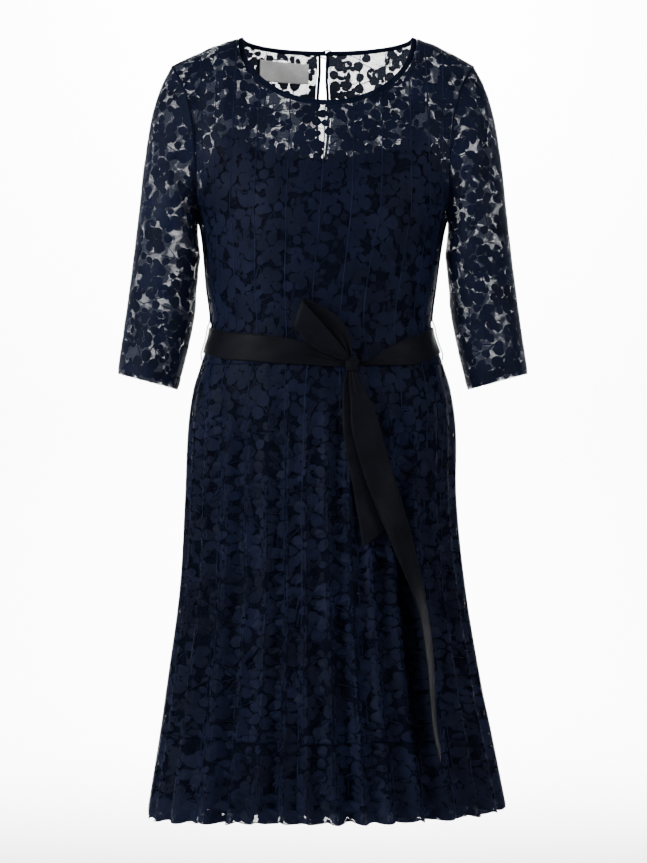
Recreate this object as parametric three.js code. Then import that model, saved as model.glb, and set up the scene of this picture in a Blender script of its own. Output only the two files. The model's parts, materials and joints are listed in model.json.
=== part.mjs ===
// A knee-length lace cocktail dress, filled out as it is when worn: a lace bodice, gored skirt and
// flounce over a satin slip, three-quarter sleeves, a bound neck with a keyhole at the back, and a
// satin ribbon tied in a one-loop bow at the waist. Every cloth piece is a thin wall of its own.
// Millimetres. +Z is up, +X is towards the wearer's left, and the front faces -Y. The origin lies
// midway between the shoulder seams, at the height where they rest on the wearer's shoulders.

import * as THREE from 'three';

const { lerp, degToRad, smoothstep } = THREE.MathUtils;

// ---- driving sizes ----

const cloth = { lace: 1.2, slip: 1.0, ribbon: 1.0, binding: 2.6, label: 1.0 }; // wall thicknesses
const seamGap = 0.3;
const layerGap = 1.2; // between the lace and the slip under it

const heights = {
  neckPoint: 18, // where the shoulder seam meets the neckline
  shoulderPoint: -19, // where it meets the armhole
  underarm: -213,
  waistSeam: -410,
  flounceSeam: -888,
  hem: -988,
  hemDip: 14, // how much lower the hem hangs at the wearer's right side
  slipHem: -974,
};

const neck = {
  half: 117, // half width of the lace's edge
  bandHalf: 110, // half width of the binding's free edge
  lean: 6, // how far the neckline has slipped towards the wearer's left
  bandRise: 2,
  seamDepth: 6, // how far behind the side seams the neck points lie
};

const shoulder = { half: 197, depth: 2 };

// The front and the back: side is the sign of y, drop and plan are how far the neckline falls below
// and stands out from the neck points, bandDrop and bandPlan the same for the binding's free edge,
// and armhole how far the armhole bows out from the side.
const frontSide = { side: -1, key: 'front', drop: 96, plan: 78, bandDrop: 91, bandPlan: 74.5, armhole: 58 };
const backSide = { side: 1, key: 'back', drop: 15, plan: 52, bandDrop: 11, bandPlan: 48.5, armhole: 50 };

const neckShare = 0.5; // the share of a half panel's columns that ends at the neckline

// Sections through the body and skirt, from the underarm down. half is the half width, front and
// back the depths from the side seams, lean the shift sideways, and fold the depth of a fold of
// depth 1 in the tables below.
const sections = [
  { height: -213, half: 163, front: 112, back: 94, lean: 0, fold: 0 },
  { height: -245, half: 156, front: 114, back: 92, lean: -0.5, fold: 0 },
  { height: -306, half: 149, front: 104, back: 84, lean: -2, fold: 0 },
  { height: -360, half: 144, front: 95, back: 78, lean: -2, fold: 0 },
  { height: -410, half: 158, front: 99, back: 90, lean: -1, fold: 0.6 },
  { height: -443, half: 168, front: 105, back: 102, lean: -1, fold: 1 },
  { height: -495, half: 175, front: 112, back: 113, lean: -1, fold: 1.6 },
  { height: -587, half: 177.5, front: 120, back: 120, lean: -2.5, fold: 2.8 },
  { height: -705, half: 187, front: 132, back: 128, lean: 0, fold: 6 },
  { height: -831, half: 206, front: 148, back: 142, lean: 2, fold: 10 },
  { height: -888, half: 216, front: 156, back: 150, lean: 4, fold: 12 },
  { height: -988, half: 234, front: 172, back: 166, lean: 6, fold: 16 },
];

// The folds that hang from the gore seams: where the valley of each lies across its panel, and how
// deep it is beside the others.
const folds = {
  front: [
    { across: -1, deep: 0 },
    { across: -0.87, deep: 0.7 },
    { across: -0.72, deep: 1 },
    { across: -0.565, deep: 0.8 },
    { across: -0.408, deep: 1.1 },
    { across: -0.305, deep: 0.45 },
    { across: -0.202, deep: 0.95 },
    { across: -0.115, deep: 0.65 },
    { across: -0.029, deep: 0.8 },
    { across: 0.085, deep: 1.1 },
    { across: 0.176, deep: 0.7 },
    { across: 0.275, deep: 0.85 },
    { across: 0.408, deep: 1.2 },
    { across: 0.55, deep: 0.75 },
    { across: 0.69, deep: 1 },
    { across: 0.84, deep: 0.7 },
    { across: 1, deep: 0 },
  ],
  back: [
    { across: -1, deep: 0 },
    { across: -0.85, deep: 0.8 },
    { across: -0.7, deep: 0.95 },
    { across: -0.56, deep: 0.7 },
    { across: -0.41, deep: 1.15 },
    { across: -0.28, deep: 0.6 },
    { across: -0.15, deep: 0.9 },
    { across: 0, deep: 0.7 },
    { across: 0.12, deep: 1 },
    { across: 0.27, deep: 0.8 },
    { across: 0.4, deep: 1.1 },
    { across: 0.55, deep: 0.65 },
    { across: 0.71, deep: 1 },
    { across: 0.87, deep: 0.75 },
    { across: 1, deep: 0 },
  ],
};

// The top edge of the slip: across is the share of a half panel, front and back the edge's heights.
const slipTop = [
  { across: 0, front: -149, back: -160 },
  { across: 0.25, front: -143, back: -155 },
  { across: 0.42, front: -127, back: -140 },
  { across: 0.5, front: -114, back: -128 },
  { across: 0.57, front: -114, back: -128 },
  { across: 0.7, front: -140, back: -150 },
  { across: 0.85, front: -185, back: -190 },
  { across: 1, front: -226, back: -226 },
];

// Rings of a sleeve below the armhole: the outermost and innermost points of each, as distance from
// the middle and height, and half its depth front to back.
const sleeveRings = [
  { outX: 213, outZ: -50, inX: 164.5, inZ: -228, deep: 56 },
  { outX: 225, outZ: -92, inX: 162, inZ: -250, deep: 56 },
  { outX: 234, outZ: -150, inX: 160, inZ: -272, deep: 56 },
  { outX: 241, outZ: -215, inX: 161.5, inZ: -300, deep: 55 },
  { outX: 250, outZ: -290, inX: 166, inZ: -336, deep: 52 },
  { outX: 259, outZ: -355, inX: 176, inZ: -386, deep: 49 },
  { outX: 268, outZ: -422, inX: 190, inZ: -443, deep: 46 },
];

// The belt, round from the knot to the wearer's left, across the back and to the knot again. turn is
// the angle from the front middle in degrees, and top and bottom are the ribbon's edges.
const beltStations = [
  { turn: 14.3, top: -410, bottom: -414 },
  { turn: 22, top: -406, bottom: -413 },
  { turn: 33, top: -391, bottom: -413 },
  { turn: 46, top: -379, bottom: -412 },
  { turn: 62, top: -371, bottom: -404 },
  { turn: 90, top: -361, bottom: -394 },
  { turn: 180, top: -360, bottom: -393 },
  { turn: 270, top: -361, bottom: -394 },
  { turn: 312, top: -370, bottom: -405 },
  { turn: 338, top: -376, bottom: -410 },
  { turn: 352, top: -384, bottom: -412 },
  { turn: 365, top: -402, bottom: -414 },
  { turn: 372.4, top: -410, bottom: -415 },
];
const beltLift = 2; // from the lace to the ribbon's inner face

const knot = { x: 36, height: -413, lift: 9.3, half: [9, 6, 9.5] };

// Ribbon ends: the middle line as x and height, the ribbon's width there, its lift off the skirt and
// its twist about its own length in degrees.
const longTail = [
  { x: 36.5, height: -423, width: 10, lift: 9, twist: 0 },
  { x: 40, height: -438, width: 16, lift: 8, twist: 14 },
  { x: 47, height: -464, width: 27, lift: 8, twist: 10 },
  { x: 53, height: -492, width: 36, lift: 7, twist: 4 },
  { x: 67, height: -544, width: 38, lift: 7, twist: 0 },
  { x: 80, height: -585, width: 38, lift: 7, twist: -8 },
  { x: 100, height: -646, width: 38, lift: 8, twist: -22 },
  { x: 119, height: -721, width: 38, lift: 14, twist: -38 },
  { x: 127, height: -789, width: 38, lift: 17, twist: -44 },
  { x: 132, height: -871, width: 38, lift: 18, twist: -50 },
  { x: 141, height: -915, width: 26, lift: 16, twist: -50 },
];
const shortTail = [
  { x: 35, height: -420, width: 10, lift: 1.4, twist: 0 },
  { x: 37, height: -446, width: 24, lift: 0.9, twist: 0 },
  { x: 45, height: -500, width: 38, lift: 0.9, twist: 0 },
  { x: 57, height: -570, width: 38, lift: 0.9, twist: 0 },
  { x: 69, height: -640, width: 38, lift: 0.9, twist: 0 },
];

// The bow's one loop, out and back: x and height of the ribbon's middle line, its distance in front
// of the side seams, its width, and the way that its width points, in degrees from straight up.
const bowLoop = [
  { x: 31.2, height: -404, front: 109.6, width: 8, lean: 42 },
  { x: 22, height: -398, front: 113, width: 15, lean: 42 },
  { x: 8, height: -388, front: 117, width: 24, lean: 42 },
  { x: -8, height: -374, front: 121, width: 30, lean: 42 },
  { x: -22, height: -359, front: 123, width: 32, lean: 36 },
  { x: -30, height: -348, front: 121, width: 32, lean: 24 },
  { x: -30, height: -343, front: 116, width: 32, lean: 16 },
  { x: -20, height: -345, front: 112, width: 31, lean: 12 },
  { x: -2, height: -354, front: 109, width: 30, lean: 14 },
  { x: 16, height: -366, front: 107, width: 28, lean: 24 },
  { x: 28, height: -382, front: 105, width: 18, lean: 44 },
  { x: 34.5, height: -402, front: 106, width: 7, lean: 80 },
];

const keyhole = { bottom: -135, width: 11, topWidth: 4, bind: 4.5 };
const label = { columns: [-0.365, -0.33, -0.23, -0.12, -0.095], rises: [0.83, 0.92, 0.95], inset: 0.75 };
const strap = { edges: [0.505, 0.565], inset: 0.9 };
const button = { x: 8, height: 5, radius: 4.5, thickness: 3.6 };
const threadRadius = 0.8;
const beltLoop = { top: -350, bottom: -404, bulge: 5 };

// ---- tables and surfaces ----

// Reads every column of a table at a place between its rows, on smooth curves through them.
function readTable(table, key, at) {
  const rising = table[table.length - 1][key] > table[0][key];
  const place = rising ? at : -at;
  const keys = table.map((row) => (rising ? row[key] : -row[key]));
  const last = keys.length - 2;
  let i = 0;
  while (i < last && place > keys[i + 1]) i++;
  const span = keys[i + 1] - keys[i];
  const t = THREE.MathUtils.clamp((place - keys[i]) / span, 0, 1);
  const found = {};
  for (const column of Object.keys(table[0])) {
    const slope = (j) => {
      const low = Math.max(j - 1, 0);
      const high = Math.min(j + 1, keys.length - 1);
      return (table[high][column] - table[low][column]) / (keys[high] - keys[low]);
    };
    const [a, b] = [table[i][column], table[i + 1][column]];
    const [u, v] = [slope(i) * span, slope(i + 1) * span];
    found[column] = a + t * (u + t * (3 * (b - a) - 2 * u - v + t * (2 * (a - b) + u + v)));
  }
  return found;
}

// How deep the folds are at a place across a panel: the whole depth in a valley, 0 on a crest.
function foldDepth(panel, across) {
  const rows = folds[panel.key];
  let i = 0;
  while (i < rows.length - 2 && across > rows[i + 1].across) i++;
  const share = (across - rows[i].across) / (rows[i + 1].across - rows[i].across);
  return lerp(rows[i].deep, rows[i + 1].deep, share) * (0.5 + 0.5 * Math.cos(2 * Math.PI * share));
}

// A point of the body below the underarm. across runs from -1 at one side seam to 1 at the other.
function lowerPoint(panel, across, height, folded) {
  const section = readTable(sections, 'height', height);
  const angle = (across * Math.PI) / 2;
  const point = new THREE.Vector3(
    section.half * Math.sin(angle),
    panel.side * section[panel.key] * Math.cos(angle),
    0,
  );
  if (folded) {
    point.setLength(point.length() - section.fold * foldDepth(panel, across));
  }
  return point.add(new THREE.Vector3(section.lean, panel.side * seamGap * 0.5, height));
}

// The top edge of the bodice: the neckline over the middle columns and the shoulder seam outside it.
function topPoint(panel, across) {
  const share = Math.abs(across);
  const out = Math.sign(across);
  if (share <= neckShare) {
    const run = Math.sin((share * Math.PI) / 2) / Math.sin((neckShare * Math.PI) / 2);
    const fall = Math.sqrt(Math.max(0, 1 - run * run));
    return new THREE.Vector3(
      neck.lean + out * neck.half * run,
      neck.seamDepth + panel.side * (panel.plan * fall + seamGap * 0.5),
      heights.neckPoint - panel.drop * fall,
    );
  }
  const run = (share - neckShare) / (1 - neckShare);
  return new THREE.Vector3(
    lerp(neck.lean + out * neck.half, out * shoulder.half, run),
    lerp(neck.seamDepth, shoulder.depth, run) + panel.side * seamGap * 0.5,
    lerp(heights.neckPoint, heights.shoulderPoint, run) + 2.5 * Math.sin(Math.PI * run),
  );
}

// A point of the bodice above the underarm. rise runs from 0 at the underarm to 1 at the top edge.
function upperPoint(panel, across, rise) {
  const low = lowerPoint(panel, across, heights.underarm, false);
  const high = topPoint(panel, across);
  const share = Math.abs(across);
  const round = smoothstep(share, 0.3, 0.62);
  const slope = lerp(rise ** 1.6, 1 - (1 - rise ** 1.8) ** (1 / 1.8), round);
  const bow = panel.armhole * share ** 3 * Math.sin(Math.PI * Math.min(rise, 1)) ** 0.5;
  return new THREE.Vector3(
    lerp(low.x, high.x, rise ** (1 + 3 * share ** 3)),
    lerp(low.y, high.y, slope) + panel.side * (rise < 1 ? bow : 0),
    lerp(low.z, high.z, rise),
  );
}

// level is a height at or below the underarm, or a rise between 0 and 1 above it.
function bodyPoint(panel, across, level, folded = true) {
  return level > 0 ? upperPoint(panel, across, Math.min(level, 1)) : lowerPoint(panel, across, level, folded);
}

function levelOfHeight(panel, across, height) {
  if (height <= heights.underarm) return height;
  return (height - heights.underarm) / (topPoint(panel, across).z - heights.underarm);
}

// Straight up from a shoulder seam.
function shoulderUp(out) {
  const along = topPoint(frontSide, 1).sub(topPoint(frontSide, neckShare));
  return new THREE.Vector3(-out * along.z, 0, along.x).normalize();
}

// The way out of the body at a point, without its folds. On a seam between front and back it has no
// part towards either.
function bodyNormal(panel, across, level) {
  const [left, right] = [Math.max(across - 0.01, -1), Math.min(across + 0.01, 1)];
  const up = level > 0 ? Math.min(level + 0.004, 1) : Math.min(level + 1, heights.underarm);
  const down = level > 0 ? Math.max(level - 0.004, 1e-6) : level - 1;
  const along = bodyPoint(panel, right, level, false).sub(bodyPoint(panel, left, level, false));
  const rise = bodyPoint(panel, across, up, false).sub(bodyPoint(panel, across, down, false));
  const share = Math.abs(across);
  if (level === 1 && share >= neckShare) return shoulderUp(Math.sign(across));
  const out = along.cross(rise).multiplyScalar(-panel.side);
  if (level < 0 && share === 1) out.y = 0;
  return out.normalize();
}

function offsetPoint(panel, across, level, out, folded = true) {
  return bodyPoint(panel, across, level, folded).addScaledVector(bodyNormal(panel, across, level), out);
}

// ---- walls ----

// A closed wall between two grids of points. With round, its columns close on themselves.
function wall(outer, inner, round = false) {
  const [rows, columns] = [outer.length, outer[0].length];
  const at = (layer, row, column) => (layer * rows + row) * columns + (column % columns);
  const faces = [];
  const corners = [...outer.flat(), ...inner.flat()];
  const quad = (a, b, c, d) => {
    const short = corners[a].distanceTo(corners[c]) <= corners[b].distanceTo(corners[d]);
    faces.push(...(short ? [a, b, c, a, c, d] : [b, c, d, b, d, a]));
  };
  const steps = round ? columns : columns - 1;
  for (let column = 0; column < steps; column++) {
    const next = column + 1;
    for (let row = 0; row + 1 < rows; row++) {
      quad(at(0, row, column), at(0, row, next), at(0, row + 1, next), at(0, row + 1, column));
      quad(at(1, row, column), at(1, row + 1, column), at(1, row + 1, next), at(1, row, next));
    }
    quad(at(0, 0, column), at(1, 0, column), at(1, 0, next), at(0, 0, next));
    quad(at(0, rows - 1, column), at(0, rows - 1, next), at(1, rows - 1, next), at(1, rows - 1, column));
  }
  for (let row = 0; !round && row + 1 < rows; row++) {
    quad(at(0, row, 0), at(0, row + 1, 0), at(1, row + 1, 0), at(1, row, 0));
    const end = columns - 1;
    quad(at(0, row, end), at(1, row, end), at(1, row + 1, end), at(0, row + 1, end));
  }
  const positions = corners.flatMap((p) => [p.x, p.y, p.z]);
  const geometry = new THREE.BufferGeometry();
  geometry.setAttribute('position', new THREE.Float32BufferAttribute(positions, 3));
  geometry.setIndex(facingOut(positions, faces));
  return geometry;
}

// Turns every face round if together they enclose a negative volume.
function facingOut(positions, faces) {
  const corner = (i) => new THREE.Vector3().fromArray(positions, faces[i] * 3);
  let volume = 0;
  for (let i = 0; i < faces.length; i += 3) {
    volume += corner(i).dot(corner(i + 1).cross(corner(i + 2)));
  }
  if (volume > 0) return faces;
  return faces.map((_, i) => faces[i - (i % 3) + [0, 2, 1][i % 3]]);
}

// A piece of the body's surface as a wall: out is the distance of its outer face from the surface.
function bodyWall(panel, columns, levels, thickness, out = 0, folded = true) {
  const grid = (offset) =>
    levels.map((level) =>
      columns.map((column) => {
        const across = typeof column === 'function' ? column(level) : column;
        const place = typeof level === 'function' ? level(across) : level;
        return offsetPoint(panel, across, place, offset, folded);
      }),
    );
  return wall(grid(out), grid(out - thickness));
}

const evenly = (from, to, steps) => Array.from({ length: steps + 1 }, (_, i) => lerp(from, to, i / steps));

// ---- bodice ----

const keyholeRises = [keyhole.bottom - keyhole.bind - seamGap, keyhole.bottom].map((height) =>
  levelOfHeight(backSide, 0, height),
);
const bodiceLevels = [
  heights.waistSeam + seamGap / 2, -360, -306, -258, heights.underarm,
  0.06, 0.18, ...keyholeRises, 0.5, 0.65, 0.8, 0.92, 1,
];
const halfColumns = [0, 0.12, 0.23, 0.33, 0.41, 0.47, neckShare, 0.57, 0.7, 0.85, 1];
const wholeColumns = [...halfColumns.slice(1).map((share) => -share).reverse(), ...halfColumns];

const bodiceFront = () => bodyWall(frontSide, wholeColumns, bodiceLevels, cloth.lace);

// Half the width of the slit at a height above its foot.
function slitHalf(height) {
  const share = THREE.MathUtils.clamp((height - keyhole.bottom) / -keyhole.bottom, 0, 1);
  const open = keyhole.width * Math.sin(Math.PI * share ** 0.8);
  return Math.max(open, keyhole.topWidth * smoothstep(share, 0, 0.5)) / 2;
}

// The share across the back that lies a distance from the middle, at a level.
function acrossAt(distance, level) {
  const reach = bodyPoint(backSide, 0.1, level, false).x - bodyPoint(backSide, 0, level, false).x;
  return (0.1 * distance) / reach;
}

// The middle edge of a back panel: the seam, then round the keyhole's binding.
function backMiddle(out) {
  return (level) => {
    const height = bodyPoint(backSide, 0, level).z;
    const clear = height < keyhole.bottom - 0.01 ? seamGap / 2 : slitHalf(height) + keyhole.bind + seamGap;
    return out * acrossAt(clear, level);
  };
}

function bodiceBack(out) {
  const columns = halfColumns.map((share, i) => (i === 0 ? backMiddle(out) : out * share));
  return bodyWall(backSide, columns, bodiceLevels, cloth.lace);
}

// The binding of the slit: down one edge, round its foot and up the other.
function keyholeBinding() {
  const rises = bodiceLevels.filter((level) => level > keyholeRises[0]);
  const edges = (out, level) => {
    const half = slitHalf(bodyPoint(backSide, 0, level).z);
    return [0, keyhole.bind].map((grow) => ({ level, across: out * acrossAt(half + grow, level) }));
  };
  const foot = [keyhole.bottom, keyhole.bottom - keyhole.bind].map((height) => ({
    level: levelOfHeight(backSide, 0, height),
    across: 0,
  }));
  const down = [...rises].reverse().map((level) => edges(-1, level));
  const up = rises.map((level) => edges(1, level));
  const path = [...down, foot, ...up];
  const grid = (out) =>
    path.map((pair) => pair.map(({ across, level }) => offsetPoint(backSide, across, level, out)));
  return wall(grid(0.2), grid(-cloth.lace - 0.2));
}

// How far round the neck, from the back middle, a column of the bodice ends.
function turnOfShare(share) {
  const run = Math.sin((share * Math.PI) / 2) / Math.sin((neckShare * Math.PI) / 2);
  return THREE.MathUtils.radToDeg(Math.asin(run));
}

// The binding round the neck, open at the middle of the back. turn is 0 there and 360 round again.
function neckBinding() {
  const edge = (turn, inwards) => {
    const angle = degToRad(turn);
    const front = Math.cos(angle) < 0;
    const panel = front ? frontSide : backSide;
    const fall = Math.abs(Math.cos(angle));
    const share = inwards ? 1 : (seamGap + 0.2) / (neck.half - neck.bandHalf);
    return new THREE.Vector3(
      neck.lean + lerp(neck.half, neck.bandHalf, share) * Math.sin(angle),
      neck.seamDepth + panel.side * lerp(panel.plan, panel.bandPlan, share) * fall,
      heights.neckPoint + neck.bandRise * share - lerp(panel.drop, panel.bandDrop, share) * fall,
    );
  };
  const endTurn = THREE.MathUtils.radToDeg(keyhole.topWidth / 2 / neck.half);
  const quarter = halfColumns.filter((share) => share > 0 && share < neckShare).map(turnOfShare);
  const quarters = [...quarter, 90, ...quarter.map((turn) => 180 - turn).reverse()];
  const half = [endTurn, ...quarters, 180];
  const turns = [...half, ...half.slice(0, -1).map((turn) => 360 - turn).reverse()];
  const rows = [false, true].map((inwards) => turns.map((turn) => edge(turn, inwards)));
  const facing = turns.map((turn, i) => {
    const along = edge(turn + 1, true).sub(edge(turn - 1, true));
    const across = rows[1][i].clone().sub(rows[0][i]);
    return across.cross(along).normalize();
  });
  const layer = (out) => rows.map((row) => row.map((p, i) => p.clone().addScaledVector(facing[i], out)));
  return wall(layer(0.7), layer(0.7 - cloth.binding));
}

// ---- sleeves ----

// The armhole, round from the shoulder point, by the front to the underarm and up the back.
function armholePoint(out, angle) {
  const panel = Math.sin(angle) >= 0 ? frontSide : backSide;
  const rise = THREE.MathUtils.clamp((1 + Math.cos(angle)) / 2, 0, 1);
  return { panel, rise, point: upperPoint(panel, out, rise) };
}

function sleeve(out) {
  const rises = bodiceLevels.filter((level) => level > 0);
  const half = rises.map((rise) => Math.acos(2 * rise - 1)).reverse();
  const angles = [...half, Math.PI, ...half.slice(1).map((angle) => 2 * Math.PI - angle).reverse()];
  const around = angles.length;
  const ringPoint = (ring, angle) => {
    const [middleX, middleZ] = [(ring.outX + ring.inX) / 2, (ring.outZ + ring.inZ) / 2];
    return new THREE.Vector3(
      out * (middleX + ((ring.outX - ring.inX) / 2) * Math.cos(angle)),
      -ring.deep * Math.sin(angle),
      middleZ + ((ring.outZ - ring.inZ) / 2) * Math.cos(angle),
    );
  };
  const below = sleeveRings.map((ring) => angles.map((angle) => ringPoint(ring, angle)));
  const first = angles.map((angle, i) => {
    const edge = armholePoint(out, angle).point;
    const away = below[0][i].clone().sub(edge).normalize();
    const clear = new THREE.Vector3(out * lerp(0.5, 1.4, Math.sin(angle) ** 2), 0, 0);
    return edge.addScaledVector(away, seamGap).add(clear);
  });
  const outer = [first, ...below];
  const normal = (row, i) => {
    const along = outer[row][(i + 1) % around].clone().sub(outer[row][(i + around - 1) % around]);
    const [up, down] = [Math.max(row - 1, 0), Math.min(row + 1, outer.length - 1)];
    const fall = outer[down][i].clone().sub(outer[up][i]);
    return along.cross(fall).multiplyScalar(out).normalize();
  };
  const inner = outer.map((ring, row) =>
    ring.map((p, i) => {
      const facing = normal(row, i);
      if (row === 0) {
        const { panel, rise } = armholePoint(out, angles[i]);
        const share = smoothstep(Math.cos(angles[i]), -0.6, 0.2);
        facing.lerp(bodyNormal(panel, out, Math.max(rise, 0.01)), share).normalize();
      }
      return p.clone().addScaledVector(facing, -cloth.lace);
    }),
  );
  return wall(outer, inner, true);
}

// ---- skirt and flounce ----

// Three columns to a fold: its valley and the two sides of the crest beside it.
function skirtColumns(panel) {
  const rows = folds[panel.key];
  const columns = rows.slice(0, -1).flatMap((row, i) =>
    [0, 0.34, 0.66].map((share) => lerp(row.across, rows[i + 1].across, share)),
  );
  return [...columns, 1];
}

const skirtTop = heights.waistSeam - seamGap / 2;
const skirtLevels = [skirtTop, -450, -520, -625, -755, heights.flounceSeam + seamGap / 2];
const hemLevel = (across) => heights.hem - heights.hemDip * smoothstep(-across, 0.1, 1);
const flounceLevels = [heights.flounceSeam - seamGap / 2, hemLevel];

const skirt = (panel) => bodyWall(panel, skirtColumns(panel), skirtLevels, cloth.lace);
const flounce = (panel) => bodyWall(panel, skirtColumns(panel), flounceLevels, cloth.lace);

// ---- slip ----

// How far the slip's outer face lies inside the lace's: clear of its wall and of its folds.
function slipInset(level) {
  const fold = level > 0 ? 0 : readTable(sections, 'height', level).fold;
  return cloth.lace + layerGap + fold * 1.25;
}

function slipPanel(panel) {
  const waistLevels = bodiceLevels.filter((level) => level < -230);
  const straight = [heights.slipHem, -831, -705, -587, -495, -443, ...waistLevels];
  const shaped = [0, 0.5, 1].map((share) => (across) => {
    const top = readTable(slipTop, 'across', Math.abs(across))[panel.key];
    const foot = top > heights.underarm + 4 ? heights.underarm : (top - 258) / 2;
    return levelOfHeight(panel, across, lerp(foot, top, share));
  });
  const grid = (extra) =>
    [...straight, ...shaped].map((level) =>
      wholeColumns.map((across) => {
        const place = typeof level === 'function' ? level(across) : level;
        const fade = 1 - Math.abs(across) ** 10;
        const clear = slipInset(place);
        const inset = lerp(Math.min(clear, cloth.lace + layerGap + 6), clear, fade);
        return offsetPoint(panel, across, place, -inset - extra, false);
      }),
    );
  return wall(grid(0), grid(cloth.slip));
}

// A strap from the slip's front, over the shoulder and down to its back, just inside the lace.
function slipStrap(out) {
  const route = [];
  for (const panel of [frontSide, backSide]) {
    const top = Math.max(...strap.edges.map((share) => readTable(slipTop, 'across', share)[panel.key]));
    const start = levelOfHeight(panel, strap.edges[0], top + 1.2);
    const levels = [start, ...bodiceLevels.filter((level) => level > start + 0.02)];
    const steps = levels.map((level) => ({ panel, level }));
    route.push(...(panel === frontSide ? steps : steps.reverse().slice(1)));
  }
  const rowAt = ({ panel, level }, inset) =>
    strap.edges.map((share) => offsetPoint(panel, out * share, level, -inset));
  const grid = (inset) => route.map((step) => rowAt(step, inset));
  return wall(grid(cloth.lace + strap.inset), grid(cloth.lace + strap.inset + cloth.slip));
}

// ---- label, button and loops ----

const labelOut = -cloth.lace - label.inset;
const neckLabel = () => bodyWall(backSide, label.columns, label.rises, cloth.label, labelOut);

// A thread through a line of points: a tube of five sides with closed ends.
function thread(points) {
  const curve = new THREE.CatmullRomCurve3(points.map((p) => new THREE.Vector3(...p)));
  const tube = new THREE.TubeGeometry(curve, (points.length - 1) * 2, threadRadius, 5);
  const positions = [...tube.attributes.position.array];
  const faces = [...tube.index.array];
  const ring = 6;
  const last = positions.length / 3 - ring;
  for (let i = 1; i < ring - 2; i++) {
    faces.push(0, i, i + 1, last, last + i + 1, last + i);
  }
  const geometry = new THREE.BufferGeometry();
  geometry.setAttribute('position', new THREE.Float32BufferAttribute(positions, 3));
  geometry.setIndex(facingOut(positions, faces));
  return geometry;
}

// The thread loop that holds the belt at a side seam.
function beltLoopThread(out) {
  const rest = threadRadius + 1.1;
  const { top, bottom, bulge } = beltLoop;
  const stations = [
    [top, rest],
    [top - 5, bulge * 0.6],
    [top - 12, bulge],
    [(top + bottom) / 2, bulge],
    [bottom + 10, bulge],
    [bottom + 4, bulge * 0.6],
    [bottom, rest],
  ];
  return thread(stations.map(([height, lift]) => offsetPoint(frontSide, out, height, lift, false).toArray()));
}

const bandFace = neck.seamDepth + (backSide.plan + backSide.bandPlan) / 2 + 2; // the band's outer face behind

function buttonBall() {
  const geometry = new THREE.SphereGeometry(button.radius, 12, 6);
  geometry.scale(1, button.thickness / 2 / button.radius, 1);
  return geometry.translate(button.x, bandFace + button.thickness / 2, button.height);
}

// The loop round the button, from the other end of the band.
function buttonLoop() {
  const reach = button.radius + threadRadius + 0.8;
  const [x, y, z] = [button.x, bandFace + threadRadius + 1.6, button.height];
  return thread([
    [-9, y - 1.8, z + 1.5], [-2, y - 0.6, z + 3.6], [x, y, z + reach], [x + reach, y, z],
    [x, y, z - reach], [-2, y - 0.4, z - 3], [-9, y - 1.4, z - 1.5],
  ]);
}

// ---- ribbon ----

// A ribbon on the belt's line: the body's surface all round, at a turn in degrees from the front.
function roundPoint(turn, height, out) {
  const wrapped = ((turn + 180) % 360) - 180;
  const front = Math.abs(wrapped) <= 90;
  const across = front ? wrapped / 90 : Math.sign(wrapped) * (2 - Math.abs(wrapped) / 90);
  return offsetPoint(front ? frontSide : backSide, across, height, out, false);
}

function beltBand() {
  const turns = evenly(beltStations[0].turn, beltStations[beltStations.length - 1].turn, 34);
  const grid = (out) =>
    [0, 1].map((share) =>
      turns.map((turn) => {
        const station = readTable(beltStations, 'turn', turn);
        return roundPoint(turn, lerp(station.bottom, station.top, share), out);
      }),
    );
  return wall(grid(beltLift + cloth.ribbon), grid(beltLift));
}

// The share across the front panel whose point lies at x, at a height.
function acrossOfX(x, height) {
  const section = readTable(sections, 'height', height);
  return (Math.asin((x - section.lean) / section.half) * 2) / Math.PI;
}

function tail(stations) {
  const steps = evenly(0, stations.length - 1, (stations.length - 1) * 2);
  const numbered = stations.map((station, i) => ({ ...station, step: i }));
  const rows = steps.map((step) => {
    const station = readTable(numbered, 'step', step);
    const across = acrossOfX(station.x, station.height);
    const middle = offsetPoint(frontSide, across, station.height, station.lift, false);
    const facing = bodyNormal(frontSide, across, station.height);
    return { station, middle, facing };
  });
  const grid = (out) =>
    rows.map(({ station, middle, facing }, i) => {
      const [before, after] = [rows[Math.max(i - 1, 0)], rows[Math.min(i + 1, rows.length - 1)]];
      const along = after.middle.clone().sub(before.middle).normalize();
      const side = facing.clone().cross(along).normalize().applyAxisAngle(along, degToRad(station.twist));
      const away = along.clone().cross(side).normalize();
      return [-0.5, 0, 0.5].map((share) =>
        middle.clone().addScaledVector(side, share * station.width).addScaledVector(away, out),
      );
    });
  return wall(grid(0), grid(cloth.ribbon));
}

function bowLoopWall() {
  const numbered = bowLoop.map((station, i) => ({ ...station, step: i }));
  const rows = evenly(0, bowLoop.length - 1, (bowLoop.length - 1) * 3).map((step) => {
    const station = readTable(numbered, 'step', step);
    return { station, middle: new THREE.Vector3(station.x, -station.front, station.height) };
  });
  const grid = (out) =>
    rows.map(({ station, middle }, i) => {
      const next = rows[Math.min(i + 1, rows.length - 1)].middle;
      const along = next.clone().sub(rows[Math.max(i - 1, 0)].middle);
      const lean = degToRad(station.lean);
      const side = new THREE.Vector3(Math.sin(lean), 0, Math.cos(lean));
      const away = along.normalize().cross(side).normalize();
      return [-0.5, 0.5].map((share) =>
        middle.clone().addScaledVector(side, share * station.width).addScaledVector(away, out),
      );
    });
  return wall(grid(0), grid(cloth.ribbon));
}

function knotBall() {
  const across = acrossOfX(knot.x, knot.height);
  const middle = offsetPoint(frontSide, across, knot.height, knot.lift, false);
  const geometry = new THREE.SphereGeometry(1, 12, 8);
  geometry.scale(...knot.half);
  return geometry.translate(middle.x, middle.y, middle.z);
}

// ---- the dress ----

const dress = new THREE.Group();

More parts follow.
